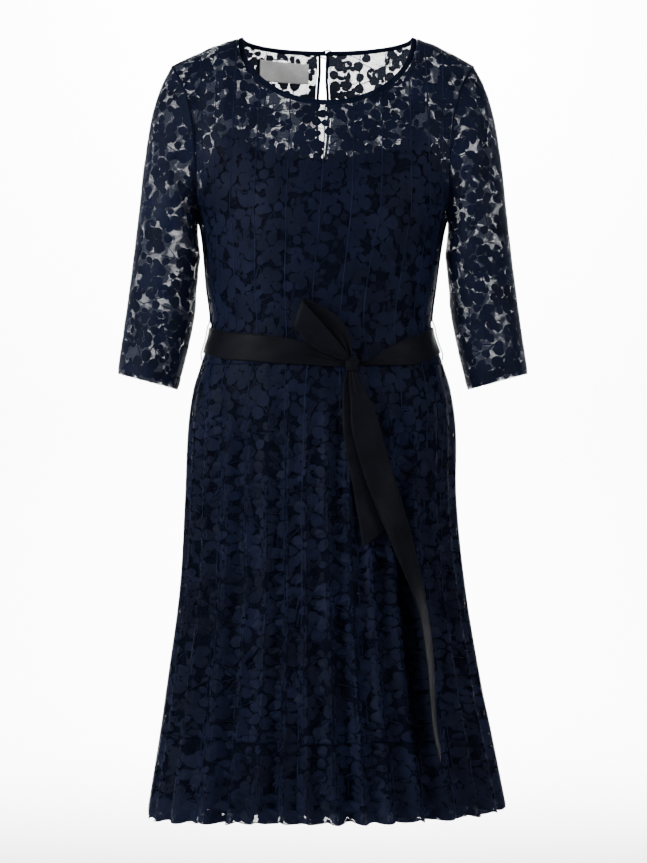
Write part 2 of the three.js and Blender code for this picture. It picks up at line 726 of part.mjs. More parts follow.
const finishes = {
  lace: { color: 0x10142a, roughness: 0.8, metalness: 0 },
  slip: { color: 0x0d1330, roughness: 0.45, metalness: 0 },
  binding: { color: 0x0c1024, roughness: 0.7, metalness: 0 },
  ribbon: { color: 0x121215, roughness: 0.35, metalness: 0 },
  label: { color: 0xb9b6b0, roughness: 0.5, metalness: 0 },
};
const materials = Object.fromEntries(
  Object.entries(finishes).map(([name, finish]) => [name, new THREE.MeshStandardMaterial(finish)]),
);

function add(name, geometry, finish) {
  const mesh = new THREE.Mesh(geometry, materials[finish]);
  mesh.name = name;
  dress.add(mesh);
}

add('bodice_front', bodiceFront(), 'lace');
add('neck_binding', neckBinding(), 'binding');
for (const [name, panel] of [['front', frontSide], ['back', backSide]]) {
  add(`skirt_${name}`, skirt(panel), 'lace');
  add(`flounce_${name}`, flounce(panel), 'lace');
  add(`slip_${name}`, slipPanel(panel), 'slip');
}
for (const [name, out] of [['left', 1], ['right', -1]]) {
  add(`bodice_back_${name}`, bodiceBack(out), 'lace');
  add(`sleeve_${name}`, sleeve(out), 'lace');
  add(`slip_strap_${name}`, slipStrap(out), 'slip');
  add(`belt_loop_${name}`, beltLoopThread(out), 'binding');
}
add('keyhole_binding', keyholeBinding(), 'binding');
add('neck_button', buttonBall(), 'binding');
add('button_loop', buttonLoop(), 'binding');
add('neck_label', neckLabel(), 'label');
add('belt_band', beltBand(), 'ribbon');
add('bow_knot', knotBall(), 'ribbon');
add('bow_loop', bowLoopWall(), 'ribbon');
add('ribbon_end_long', tail(longTail), 'ribbon');
add('ribbon_end_short', tail(shortTail), 'ribbon');

export default dress;
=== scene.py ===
import json
import math

import bmesh
import bpy
import numpy as np
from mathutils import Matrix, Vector

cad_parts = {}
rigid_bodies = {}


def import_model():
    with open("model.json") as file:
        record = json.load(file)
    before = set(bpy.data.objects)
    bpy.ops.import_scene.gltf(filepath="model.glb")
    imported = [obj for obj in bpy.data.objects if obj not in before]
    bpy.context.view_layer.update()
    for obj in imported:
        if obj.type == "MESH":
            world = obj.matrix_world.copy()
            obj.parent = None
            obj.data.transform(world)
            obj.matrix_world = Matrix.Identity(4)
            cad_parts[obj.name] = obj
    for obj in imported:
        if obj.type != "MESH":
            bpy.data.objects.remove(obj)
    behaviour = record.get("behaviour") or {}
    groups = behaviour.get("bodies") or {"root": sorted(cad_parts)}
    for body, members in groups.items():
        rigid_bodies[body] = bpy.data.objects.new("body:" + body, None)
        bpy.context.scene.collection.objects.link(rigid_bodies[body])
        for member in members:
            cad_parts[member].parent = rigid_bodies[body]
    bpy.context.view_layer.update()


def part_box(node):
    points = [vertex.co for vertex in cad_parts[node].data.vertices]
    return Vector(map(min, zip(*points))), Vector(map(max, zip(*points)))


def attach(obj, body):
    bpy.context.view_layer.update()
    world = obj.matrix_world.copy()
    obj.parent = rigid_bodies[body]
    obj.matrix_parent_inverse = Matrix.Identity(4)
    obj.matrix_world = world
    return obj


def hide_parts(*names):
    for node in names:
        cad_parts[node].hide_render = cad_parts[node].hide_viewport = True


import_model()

mm = 0.001

# the two level seams lie midway between the solids that meet there
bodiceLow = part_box("bodice_front")[0]
skirtLow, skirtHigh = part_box("skirt_front")
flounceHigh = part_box("flounce_front")[1]
waistZ = (bodiceLow[2] + skirtHigh[2]) / 2
flounceSeamZ = (skirtLow[2] + flounceHigh[2]) / 2

form = {
    "underarmZ": -213 * mm,
    "shoulderZ": -19 * mm, "shoulderHalf": 197 * mm, "shoulderY": 2 * mm,
    "neckZ": 18 * mm, "neckHalf": 117 * mm, "neckY": 6 * mm, "neckLean": 6 * mm,
    "neckShare": 0.5,      # share of a half panel that ends at the neckline
    "bandHalf": 110 * mm, "bandRise": 2 * mm,
    "hemZ": -988 * mm, "hemDip": 14 * mm,
    "slipHemZ": -974 * mm,
    "wall": 1.2 * mm, "layerGap": 1.2 * mm,
}

# front and back: how far the neckline drops and stands out, and how far the armhole bows
frontSide = {"name": "front", "side": -1, "seed": 5, "drop": 96 * mm, "plan": 78 * mm,
             "bandDrop": 91 * mm, "bandPlan": 74.5 * mm, "armhole": 58 * mm}
backSide = {"name": "back", "side": 1, "seed": 6, "drop": 15 * mm, "plan": 52 * mm,
            "bandDrop": 11 * mm, "bandPlan": 48.5 * mm, "armhole": 50 * mm}

# height, half width, depth in front, depth behind, lean, fold, all in millimetres
bodySections = [
    (-213, 163, 112, 94, 0, 0), (-245, 156, 114, 92, -0.5, 0), (-306, 149, 104, 84, -2, 0),
    (-360, 144, 95, 78, -2, 0), (-410, 158, 99, 90, -1, 0.6), (-443, 168, 105, 102, -1, 1),
    (-495, 175, 112, 113, -1, 1.6), (-587, 177.5, 120, 120, -2.5, 2.8), (-705, 187, 132, 128, 0, 6),
    (-831, 206, 148, 142, 2, 10), (-888, 216, 156, 150, 4, 12), (-988, 234, 172, 166, 6, 16),
]

# where each fold's valley hangs across its panel, and how deep it is beside the others
foldValleys = {
    "front": [(-1, 0), (-0.87, 0.7), (-0.72, 1), (-0.565, 0.8), (-0.408, 1.1), (-0.305, 0.45), (-0.202, 0.95),
              (-0.115, 0.65), (-0.029, 0.8), (0.085, 1.1), (0.176, 0.7), (0.275, 0.85), (0.408, 1.2),
              (0.55, 0.75), (0.69, 1), (0.84, 0.7), (1, 0)],
    "back": [(-1, 0), (-0.85, 0.8), (-0.7, 0.95), (-0.56, 0.7), (-0.41, 1.15), (-0.28, 0.6), (-0.15, 0.9),
             (0, 0.7), (0.12, 1), (0.27, 0.8), (0.4, 1.1), (0.55, 0.65), (0.71, 1), (0.87, 0.75), (1, 0)],
}


def smoothStep(x, low, high):
    t = np.clip((x - low) / (high - low), 0, 1)
    return t * t * (3 - 2 * t)


def curveThrough(keys, values, at):  # a smooth curve through the rows of a table
    keys, values, at = np.asarray(keys, float), np.asarray(values, float), np.asarray(at, float)
    if keys[-1] < keys[0]:
        keys, values = keys[::-1], values[::-1]
    low = np.maximum(np.arange(len(keys)) - 1, 0)
    high = np.minimum(np.arange(len(keys)) + 1, len(keys) - 1)
    spread = (...,) + (None,) * (values.ndim - 1)
    slope = (values[high] - values[low]) / (keys[high] - keys[low])[spread]
    i = np.clip(np.searchsorted(keys, at) - 1, 0, len(keys) - 2)
    span = keys[i + 1] - keys[i]
    t = np.clip((at - keys[i]) / span, 0, 1)[spread]
    a, b, u, v = values[i], values[i + 1], slope[i] * span[spread], slope[i + 1] * span[spread]
    return a + t * (u + t * (3 * (b - a) - 2 * u - v + t * (2 * (a - b) + u + v)))


sectionTable = np.array(bodySections) * mm


def section(column, z):
    return curveThrough(sectionTable[:, 0], sectionTable[:, column], z)


def foldDepth(panel, across):  # 1 in a valley of depth 1, 0 on a crest
    rows = np.array(foldValleys[panel["name"]])
    i = np.clip(np.searchsorted(rows[:, 0], across, side="right") - 1, 0, len(rows) - 2)
    share = (across - rows[i, 0]) / (rows[i + 1, 0] - rows[i, 0])
    deep = rows[i, 1] + (rows[i + 1, 1] - rows[i, 1]) * share
    return deep * (0.5 + 0.5 * np.cos(2 * math.pi * share))


def lowerPoint(panel, across, z, folded=True):
    half, lean = section(1, z), section(4, z)
    deep = section(2 if panel["side"] < 0 else 3, z)
    angle = across * math.pi / 2
    x, y = half * np.sin(angle), panel["side"] * deep * np.cos(angle)
    if folded:
        length = np.hypot(x, y)
        shrink = 1 - section(5, z) * foldDepth(panel, across) / np.maximum(length, 1e-6)
        x, y = x * shrink, y * shrink
    return np.stack([x + lean, y + 0 * z, z + 0 * x], -1)


def topPoint(panel, across):
    share, out = np.abs(across), np.sign(across)
    neck = form["neckShare"]
    run = np.minimum(np.sin(share * math.pi / 2) / math.sin(neck * math.pi / 2), 1)
    fall = np.sqrt(np.maximum(0, 1 - run * run))
    neckline = np.stack([form["neckLean"] + out * form["neckHalf"] * run,
                         form["neckY"] + panel["side"] * panel["plan"] * fall,
                         form["neckZ"] - panel["drop"] * fall], -1)
    seam = np.clip((share - neck) / (1 - neck), 0, 1)
    start = form["neckLean"] + out * form["neckHalf"]
    shoulder = np.stack([start + (out * form["shoulderHalf"] - start) * seam,
                         form["neckY"] + (form["shoulderY"] - form["neckY"]) * seam,
                         form["neckZ"] + (form["shoulderZ"] - form["neckZ"]) * seam
                         + 2.5 * mm * np.sin(math.pi * seam)], -1)
    return np.where((share <= neck)[..., None], neckline, shoulder)


def upperPoint(panel, across, rise):  # rise is 0 at the underarm and 1 at the neckline or shoulder
    low = lowerPoint(panel, across, np.full_like(across, form["underarmZ"]), False)
    high = topPoint(panel, across)
    share = np.abs(across)
    rise = np.clip(rise, 0, 1)
    roundness = smoothStep(share, 0.3, 0.62)
    slope = rise ** 1.6 * (1 - roundness) + (1 - (1 - rise ** 1.8) ** (1 / 1.8)) * roundness
    bow = panel["armhole"] * share ** 3 * np.sin(math.pi * rise) ** 0.5
    x = low[..., 0] + (high[..., 0] - low[..., 0]) * rise ** (1 + 3 * share ** 3)
    y = low[..., 1] + (high[..., 1] - low[..., 1]) * slope + panel["side"] * bow
    z = low[..., 2] + (high[..., 2] - low[..., 2]) * rise
    return np.stack([x, y, z], -1)


# level is a height up to the underarm, or 1 + the rise above it
def bodyPoint(panel, across, level, folded=True):
    across, level = np.broadcast_arrays(np.asarray(across, float), np.asarray(level, float))
    below = lowerPoint(panel, across, np.minimum(level, form["underarmZ"]), folded)
    above = upperPoint(panel, across, np.clip(level - 1, 0, 1))
    return np.where((level >= 1)[..., None], above, below)


def levelOfHeight(panel, across, z):
    top = topPoint(panel, np.asarray(across, float))[..., 2]
    rise = (z - form["underarmZ"]) / (top - form["underarmZ"])
    return np.where(z <= form["underarmZ"], z, 1 + rise)


def gridNormals(points, outward):  # unit normals of a grid of points, turned towards outward
    along = np.gradient(points, axis=1)
    down = np.gradient(points, axis=0)
    normal = np.cross(along, down)
    normal /= np.maximum(np.linalg.norm(normal, axis=-1, keepdims=True), 1e-12)
    if (normal * outward).sum() < 0:
        normal = -normal
    return normal


def roundNormals(points, outward):  # the same for a grid whose columns close on themselves
    wrapped = np.concatenate([points[:, -2:], points, points[:, :2]], 1)
    return gridNormals(wrapped, np.concatenate([outward[:, -2:], outward, outward[:, :2]], 1))[:, 2:-2]


def lengthsAlong(points, axis):  # distance run along each row or column of a grid
    steps = np.linalg.norm(np.diff(points, axis=axis), axis=-1)
    start = np.zeros_like(np.take(steps, [0], axis=axis))
    return np.concatenate([start, np.cumsum(steps, axis=axis)], axis)


def flatPlaces(points):  # where each point of a grid lies on the flat cloth, in metres
    u, v = lengthsAlong(points, 1), lengthsAlong(points, 0)
    middle = points.shape[1] // 2
    return np.stack([u - u[:, middle:middle + 1], v], -1)


def addMesh(name, points, faces, uv=None, values=None):
    mesh = bpy.data.meshes.new(name)
    mesh.from_pydata(points.reshape(-1, 3).tolist(), [], faces)
    if uv is not None:
        layer = mesh.uv_layers.new(name="flat")
        corners = np.empty(len(mesh.loops), dtype=np.int32)
        mesh.loops.foreach_get("vertex_index", corners)
        layer.data.foreach_set("uv", uv.reshape(-1, 2)[corners].astype(np.float32).ravel())
    for key, value in (values or {}).items():
        isVector = value.ndim > 1 and value.shape[-1] == 3
        kind, field = ("FLOAT_VECTOR", "vector") if isVector else ("FLOAT", "value")
        mesh.attributes.new(key, kind, "POINT").data.foreach_set(field, value.astype(np.float32).ravel())
    mesh.shade_smooth()
    made = bpy.data.objects.new(name, mesh)
    bpy.context.scene.collection.objects.link(made)
    return made


def gridFaces(rows, columns, closed, start=0, flip=False):
    last = columns if closed else columns - 1
    row, column = np.meshgrid(np.arange(rows - 1), np.arange(last), indexing="ij")
    nextColumn = (column + 1) % columns
    quads = np.stack([row * columns + column, row * columns + nextColumn,
                      (row + 1) * columns + nextColumn, (row + 1) * columns + column], -1)
    quads = quads.reshape(-1, 4) + start
    return (quads[:, ::-1] if flip else quads).tolist()


def facesInward(points, outward):  # whether a grid's faces, as gridFaces lists them, point away from outward
    a, b, c = points[0, 0], points[0, 1], points[1, 1]
    return np.dot(np.cross(b - a, c - a), outward) < 0


def shell(name, points, normals, thick, uv, values=None, closed=False):
    # a thin closed wall: its outer face on the grid, its inner face thick behind it
    rows, columns = points.shape[:2]
    inner = points - normals * thick
    count = rows * columns
    turned = facesInward(points, normals[0, 0])
    faces = gridFaces(rows, columns, closed, 0, turned) + gridFaces(rows, columns, closed, count, not turned)
    edges = [(i, i + 1) for i in range(columns - 1)] + ([(columns - 1, 0)] if closed else [])
    last = (rows - 1) * columns
    rim = edges + [(last + j, last + i) for i, j in edges]
    if not closed:
        rim += [((r + 1) * columns, r * columns) for r in range(rows - 1)]
        rim += [(r * columns + columns - 1, (r + 1) * columns + columns - 1) for r in range(rows - 1)]
    for i, j in rim:
        quad = [i, i + count, j + count, j]
        faces.append(quad[::-1] if turned else quad)
    both = {key: np.concatenate([value.reshape(count, -1)] * 2).squeeze()
            for key, value in (values or {}).items()}
    return addMesh(name, np.concatenate([points.reshape(-1, 3), inner.reshape(-1, 3)]), faces,
                   np.concatenate([uv.reshape(-1, 2)] * 2), both)


def cleanMesh(piece):  # merges doubled points, then turns every face outwards
    work = bmesh.new()
    work.from_mesh(piece.data)
    bmesh.ops.remove_doubles(work, verts=work.verts, dist=1e-6)
    bmesh.ops.recalc_face_normals(work, faces=work.faces)
    work.to_mesh(piece.data)
    work.free()


def asGrid(panel, across, level, folded=True):  # the body's form as a grid, and the way out from each point
    points = bodyPoint(panel, across, level, folded)
    outward = np.broadcast_to(np.array([0.0, panel["side"], 0.0]), points.shape)
    return points, gridNormals(points, outward)


# waves for each metre across and down, where each starts and how strong it is
creaseWaves = {"across": (9, 26), "down": (-3.5, 3.5), "phase": (0, 6.28), "weight": (0.4, 1)}


def unevenWaves(u, v, seed, waves):  # soft hollows and swells, long in one direction
    draw = np.random.RandomState(seed)
    total = np.zeros(np.broadcast(u, v).shape)
    for _ in range(waves):
        across, down, phase, weight = (draw.uniform(*limits) for limits in creaseWaves.values())
        total += weight * np.sin(2 * math.pi * (u * across + v * down) + phase)
    return total / waves


# the pin tucks run from the neckline to the hem: each row gives a tuck's shares across its panel
# at the top edge, the bust, the ribs, the waist, the hip and the hem
tuckHeights = [30 * mm, -194 * mm, -325 * mm, -430 * mm, -558 * mm, -988 * mm]
tuckShares = {
    "front": [(-0.78, -0.8, -0.83, -0.87, -0.87, -0.87), (-0.64, -0.66, -0.7, -0.72, -0.72, -0.72),
              (-0.5, -0.52, -0.54, -0.57, -0.565, -0.565), (-0.344, -0.363, -0.387, -0.38, -0.39, -0.408),
              (-0.19, -0.184, -0.203, -0.185, -0.182, -0.202),
              (-0.015, -0.01, -0.047, -0.078, -0.088, -0.115),
              (0.116, 0.145, 0.116, 0.09, 0.084, 0.085), (0.258, 0.3, 0.252, 0.236, 0.177, 0.176),
              (0.423, 0.49, 0.466, 0.42, 0.415, 0.408), (0.56, 0.645, 0.63, 0.6, 0.565, 0.55),
              (0.72, 0.79, 0.79, 0.76, 0.72, 0.69)],
    "back": [(-0.8, -0.8, -0.82, -0.85, -0.85, -0.85), (-0.64, -0.65, -0.68, -0.7, -0.7, -0.7),
             (-0.47, -0.49, -0.51, -0.55, -0.56, -0.56), (-0.32, -0.34, -0.36, -0.39, -0.41, -0.41),
             (-0.17, -0.18, -0.2, -0.25, -0.28, -0.28), (0.17, 0.18, 0.2, 0.24, 0.27, 0.27),
             (0.31, 0.33, 0.35, 0.38, 0.4, 0.4), (0.47, 0.49, 0.51, 0.54, 0.55, 0.55),
             (0.63, 0.65, 0.68, 0.7, 0.71, 0.71), (0.79, 0.8, 0.82, 0.86, 0.87, 0.87)],
}
tucks = {"puff": 1.0 * mm, "skirtPuff": 2.5 * mm, "ridge": 0.8 * mm, "sides": 6, "side": 1.12}

# how far below the neck point each change starts and ends, and how strong it is
flutes = {"depth": 6 * mm, "start": (0.425, 0.52), "ease": (0.70, 0.95), "eased": 0.75}
drape = {"loose": (0.42, 0.95), "puffs": (0.41, 0.5), "tight": 0.4 * mm, "soft": 1.4 * mm, "waves": 7,
         "waistReach": 28 * mm, "waistDepth": 0.9 * mm}


def tuckShare(panel, number, z):
    return curveThrough(tuckHeights, tuckShares[panel["name"]][number], z)


def tuckPuff(panel, across, z):  # 0 on a tuck, 1 midway between two
    lines = np.stack([tuckShare(panel, k, z) for k in range(len(tuckShares[panel["name"]]))], -1)
    side = np.full_like(lines[..., :1], tucks["side"])
    lines = np.concatenate([-side, lines, side], -1)
    k = np.clip((lines < across[..., None]).sum(-1) - 1, 0, lines.shape[-1] - 2)
    left = np.take_along_axis(lines, k[..., None], -1)[..., 0]
    right = np.take_along_axis(lines, k[..., None] + 1, -1)[..., 0]
    return np.sin(math.pi * np.clip((across - left) / (right - left), 0, 1)) ** 0.6


def fluteDepth(z):  # the flutes below the waist hang a little deeper than the solids have them
    return (flutes["depth"] * smoothStep(-z, *flutes["start"])
            * (1 - flutes["eased"] * smoothStep(-z, *flutes["ease"])))


def laceLift(panel, across, points):  # how far the lace's outer face stands off its form
    z = points[..., 2]
    edge = 1 - np.abs(across) ** 24  # nothing moves at the side seams
    loose = smoothStep(-z, *drape["loose"])
    pull = tucks["puff"] + (tucks["skirtPuff"] - tucks["puff"]) * smoothStep(-z, *drape["puffs"])
    puff = (tuckPuff(panel, across, z) - 1) * pull * (1 - 0.5 * loose)
    hollow = -fluteDepth(z) * foldDepth(panel, across)
    waves = unevenWaves(points[..., 0], z * 0.35, panel["seed"], drape["waves"])
    creases = waves * (drape["tight"] + drape["soft"] * loose)
    atWaist = np.exp(-((z - waistZ) / drape["waistReach"]) ** 2) * drape["waistDepth"]
    gathers = atWaist * np.sin(points[..., 0] * 260 + 2 * np.sin(z * 40))
    return puff + hollow + (creases + gathers) * edge


def laceSurface(panel, across, level):  # the lace's outer face: its form, tucks and soft creases
    points, normals = asGrid(panel, across, level)
    return points + normals * laceLift(panel, across, points)[..., None], normals


def onBody(panel, across, level, folded=False):  # points of the body's form, and the way out from each
    across, level = np.broadcast_arrays(np.asarray(across, float), np.asarray(level, float))
    aside, up = 0.004, 0.002
    point = bodyPoint(panel, across, level, folded)
    along = bodyPoint(panel, across + aside, level, folded) - bodyPoint(panel, across - aside, level, folded)
    rise = bodyPoint(panel, across, np.minimum(level + up, 2), folded)
    rise -= bodyPoint(panel, across, level - up, folded)
    normal = np.cross(along, rise)
    normal /= np.maximum(np.linalg.norm(normal, axis=-1, keepdims=True), 1e-12)
    facing = normal @ np.array([0, panel["side"], 0.6])
    return point, normal * np.sign(facing)[..., None]


# node trees, for the cloth's finish and for what repeats on it
def socketOf(sockets, key):
    if isinstance(key, int):
        return sockets[key]
    return next(s for s in sockets if s.name == key and s.enabled)


def place(tree, kind, inputs=None, **settings):  # a node, with its settings and what goes into it
    node = tree.nodes.new(kind)
    for key, value in settings.items():
        setattr(node, key, value)
    for key, value in (inputs or {}).items():
        socket = socketOf(node.inputs, key)
        if isinstance(value, bpy.types.NodeSocket):
            tree.links.new(value, socket)
        else:
            socket.default_value = value
    return node


def flow(tree, kind, inputs=None, result=0, **settings):  # what comes out of a new node
    return socketOf(place(tree, kind, inputs, **settings).outputs, result)


def mixedColour(tree, factor, low, high):
    return flow(tree, "ShaderNodeMix", {0: factor, 6: (*low, 1), 7: (*high, 1)}, 2, data_type="RGBA")


def maths(tree, operation, *values):
    return flow(tree, "ShaderNodeMath", dict(enumerate(values)), operation=operation)


def ranged(tree, value, low, high, toLow=0.0, toHigh=1.0):
    limits = {"From Min": low, "From Max": high, "To Min": toLow, "To Max": toHigh}
    return flow(tree, "ShaderNodeMapRange", {"Value": value, **limits})


def newMaterial(name):
    material = bpy.data.materials.new(name)
    material.use_nodes = True
    return material, material.node_tree, material.node_tree.nodes["Principled BSDF"].inputs


# each cloth: its two shades, the scale of its weave and of its slow change, and its gloss
petalThread = {"deep": (0.0015, 0.0024, 0.0076), "light": (0.0052, 0.0081, 0.0255), "weave": (420, 420, 420),
               "shade": 16, "tone": 0.45, "rough": 0.62, "specular": 0.3, "sheen": 0.02,
               "sheenTint": (0.25, 0.33, 0.62), "ior": 1.2, "bump": 0.45, "depth": 0.0004}
slipSatin = {"deep": (0.0046, 0.0086, 0.028), "light": (0.0100, 0.0180, 0.058), "weave": (900, 60, 900),
             "shade": 9, "rough": 0.4, "specular": 0.7, "sheen": 0.03,
             "sheenTint": (0.2, 0.3, 0.7), "ior": 1.45, "bump": 0.2, "depth": 0.0002}
ribbonSatin = {"deep": (0.0030, 0.0032, 0.0048), "light": (0.0074, 0.0079, 0.0112),
               "weave": (1500, 130, 1500), "shade": 20, "rough": 0.46, "specular": 0.3, "sheen": 0.02,
               "sheenTint": (0.6, 0.65, 0.8), "ior": 1.12, "bump": 0.15, "depth": 0.0001}
bindingCloth = {"deep": (0.0018, 0.0028, 0.0085), "light": (0.0050, 0.0075, 0.020), "weave": (800, 800, 800),
                "shade": 30, "rough": 0.75, "specular": 0.3, "sheen": 0.02,
                "sheenTint": (0.3, 0.4, 0.7), "ior": 1.1, "bump": 0.4, "depth": 0.0002}
# the tucks' cloth: the binding's cloth painted lighter, a painted highlight along each tuck's ridge
tuckHighlight = bindingCloth | {"deep": (0.0048, 0.0070, 0.0195), "light": (0.0130, 0.0180, 0.043)}
labelSatin = {"deep": (0.66, 0.655, 0.65), "light": (0.93, 0.92, 0.90), "weave": (1300, 160, 1300),
              "shade": 55, "rough": 0.4, "specular": 0.5, "sheen": 0.1,
              "sheenTint": (1, 1, 1), "ior": 1.4, "bump": 0.2, "depth": 0.0001}


def clothMaterial(name, look, flat=True):
    material, tree, shader = newMaterial(name)
    if flat:
        where = flow(tree, "ShaderNodeUVMap", None, "UV", uv_map="flat")
    else:
        where = flow(tree, "ShaderNodeTexCoord", None, "Object")
    spread = flow(tree, "ShaderNodeMapping", {"Vector": where, "Scale": look["weave"]})
    weave = flow(tree, "ShaderNodeTexNoise", {"Vector": spread, "Scale": 1.0, "Detail": 2.0}, "Fac")
    slow = flow(tree, "ShaderNodeTexNoise", {"Vector": where, "Scale": look["shade"], "Detail": 3.0}, "Fac")
    shade = maths(tree, "MULTIPLY_ADD", weave, 0.35, slow)
    toneShare = look.get("tone", 0)
    if toneShare:  # each flower and leaf has a shade of its own
        tone = flow(tree, "ShaderNodeAttribute", None, "Fac", attribute_name="tone")
        shade = maths(tree, "MULTIPLY_ADD", tone, toneShare, shade)
    share = ranged(tree, shade, 0.45, 0.9 + toneShare)
    tree.links.new(mixedColour(tree, share, look["deep"], look["light"]), shader["Base Color"])
    gloss = ranged(tree, slow, 0.3, 0.7, look["rough"] + 0.06, look["rough"] - 0.06)
    tree.links.new(gloss, shader["Roughness"])
    shader["Specular IOR Level"].default_value = look["specular"]
    shader["Sheen Weight"].default_value = look["sheen"]
    shader["Sheen Tint"].default_value = (*look["sheenTint"], 1)
    shader["IOR"].default_value = look["ior"]
    relief = {"Height": weave, "Strength": look["bump"], "Distance": look["depth"]}
    tree.links.new(flow(tree, "ShaderNodeBump", relief, "Normal"), shader["Normal"])
    return material


# the net: fine six-sided holes, painted paler where nothing lies behind it, a painted glow of the light
# shining through it
tulle = {"cells": 620, "uneven": 0.35, "hole": 0.42, "thread": 0.80,
         "rough": 0.8, "specular": 0.3, "ior": 1.15,
         "lined": (0.0028, 0.0041, 0.0112), "backlitPale": (0.036, 0.042, 0.064)}


def netMaterial():
    material, tree, shader = newMaterial("tulle")
    where = flow(tree, "ShaderNodeUVMap", None, "UV", uv_map="flat")
    pattern = {"Vector": where, "Scale": tulle["cells"], "Randomness": tulle["uneven"]}
    cells = flow(tree, "ShaderNodeTexVoronoi", pattern, "Distance", feature="DISTANCE_TO_EDGE",
                 voronoi_dimensions="2D")
    tree.links.new(ranged(tree, cells, 0.05, 0.3, tulle["thread"], tulle["hole"]), shader["Alpha"])
    backlitPale = flow(tree, "ShaderNodeAttribute", None, "Fac", attribute_name="backlitPale")
    tree.links.new(mixedColour(tree, backlitPale, tulle["lined"], tulle["backlitPale"]), shader["Base Color"])
    shader["Roughness"].default_value = tulle["rough"]
    shader["Specular IOR Level"].default_value = tulle["specular"]
    shader["IOR"].default_value = tulle["ior"]
    return material


petalCloth = clothMaterial("petalThread", petalThread, False)
slipCloth = clothMaterial("slipSatin", slipSatin)
ribbonCloth = clothMaterial("ribbonSatin", ribbonSatin)
labelCloth = clothMaterial("labelSatin", labelSatin)
edgeCloth = clothMaterial("bindingCloth", bindingCloth)
threadCloth = clothMaterial("sewingThread", bindingCloth, False)
tuckHighlightCloth = clothMaterial("tuckHighlight", tuckHighlight, False)
netCloth = netMaterial()
print("cloth finishes made")


def newTree(name, **sizes):
    tree = bpy.data.node_groups.new(name, "GeometryNodeTree")
    tree.interface.new_socket("Geometry", in_out="INPUT", socket_type="NodeSocketGeometry")
    for key, kind in sizes.items():
        tree.interface.new_socket(key, in_out="INPUT", socket_type="NodeSocket" + kind)
    tree.interface.new_socket("Geometry", in_out="OUTPUT", socket_type="NodeSocketGeometry")
    return tree, place(tree, "NodeGroupInput").outputs


def endTree(tree, geometry, cloth):
    whole = flow(tree, "GeometryNodeRealizeInstances", {"Geometry": geometry})
    dressed = flow(tree, "GeometryNodeSetMaterial", {"Geometry": whole, "Material": cloth})
    place(tree, "NodeGroupOutput", {0: dressed})
    return tree


def attribute(tree, name, kind="FLOAT_VECTOR"):
    return flow(tree, "GeometryNodeInputNamedAttribute", {"Name": name}, "Attribute", data_type=kind)


def randomNumber(tree, low, high, seed, kind="FLOAT"):
    lowSlot, highSlot, result = {"FLOAT": (2, 3, 1), "INT": (4, 5, 2)}[kind]
    limits = {lowSlot: low, highSlot: high, "Seed": seed}
    return flow(tree, "FunctionNodeRandomValue", limits, result, data_type=kind)


def vectorMath(tree, operation, a, b, result="Vector"):
    return flow(tree, "ShaderNodeVectorMath", {0: a, 1: b}, result, operation=operation)


def lengthOf(tree, vector):
    return vectorMath(tree, "LENGTH", vector, (0, 0, 0), "Value")


def nearestValue(tree, sheet, name):  # what a sheet keeps under that name at its nearest place
    source = {"Mesh": sheet, "Value": attribute(tree, name)}
    return flow(tree, "GeometryNodeSampleNearestSurface", source, "Value", data_type="FLOAT_VECTOR")


def facingOut(tree):  # turned with its upper side away from the body
    outward = {"Vector": attribute(tree, "formNormal")}
    return flow(tree, "FunctionNodeAlignRotationToVector", outward, axis="Z")


laying = {"overhang": 0.5 * mm, "density": 16000.0}  # over an edge, and points at most for each square metre


def layDown(tree, shapes, sheet, lift):  # lays flat shapes on a cloth's curve and cuts off what hangs over
    whole = flow(tree, "GeometryNodeRealizeInstances", {"Geometry": shapes})
    here = flow(tree, "GeometryNodeInputPosition")
    nearest = flow(tree, "GeometryNodeProximity", {0: sheet}, "Position", target_element="FACES")
    level, normal, shift = (nearestValue(tree, sheet, name)
                            for name in ("formNormal", "clothNormal", "shift"))
    away = vectorMath(tree, "SUBTRACT", here, nearest)
    upward = vectorMath(tree, "PROJECT", away, level)
    aside = vectorMath(tree, "SUBTRACT", away, upward)
    reach = maths(tree, "SUBTRACT", lengthOf(tree, aside), lengthOf(tree, upward))
    beyond = flow(tree, "FunctionNodeCompare", {0: reach, 1: laying["overhang"]}, operation="GREATER_THAN")
    kept = flow(tree, "GeometryNodeDeleteGeometry", {"Geometry": whole, "Selection": beyond}, domain="FACE")
    height = maths(tree, "ADD", attribute(tree, "rise", "FLOAT"), lift)
    raised = flow(tree, "ShaderNodeVectorMath", {0: normal, "Scale": height}, "Vector", operation="SCALE")
    folded = vectorMath(tree, "ADD", nearest, shift)  # from the plain form into its folds
    laid = vectorMath(tree, "ADD", folded, raised)
    return flow(tree, "GeometryNodeSetPosition", {"Geometry": kept, "Position": laid})


def withTone(tree, instances, seed):  # each instance keeps a shade of its own
    kept = {"Geometry": instances, "Name": "tone", "Value": randomNumber(tree, 0.0, 1.0, seed)}
    return flow(tree, "GeometryNodeStoreNamedAttribute", kept, data_type="FLOAT", domain="INSTANCE")


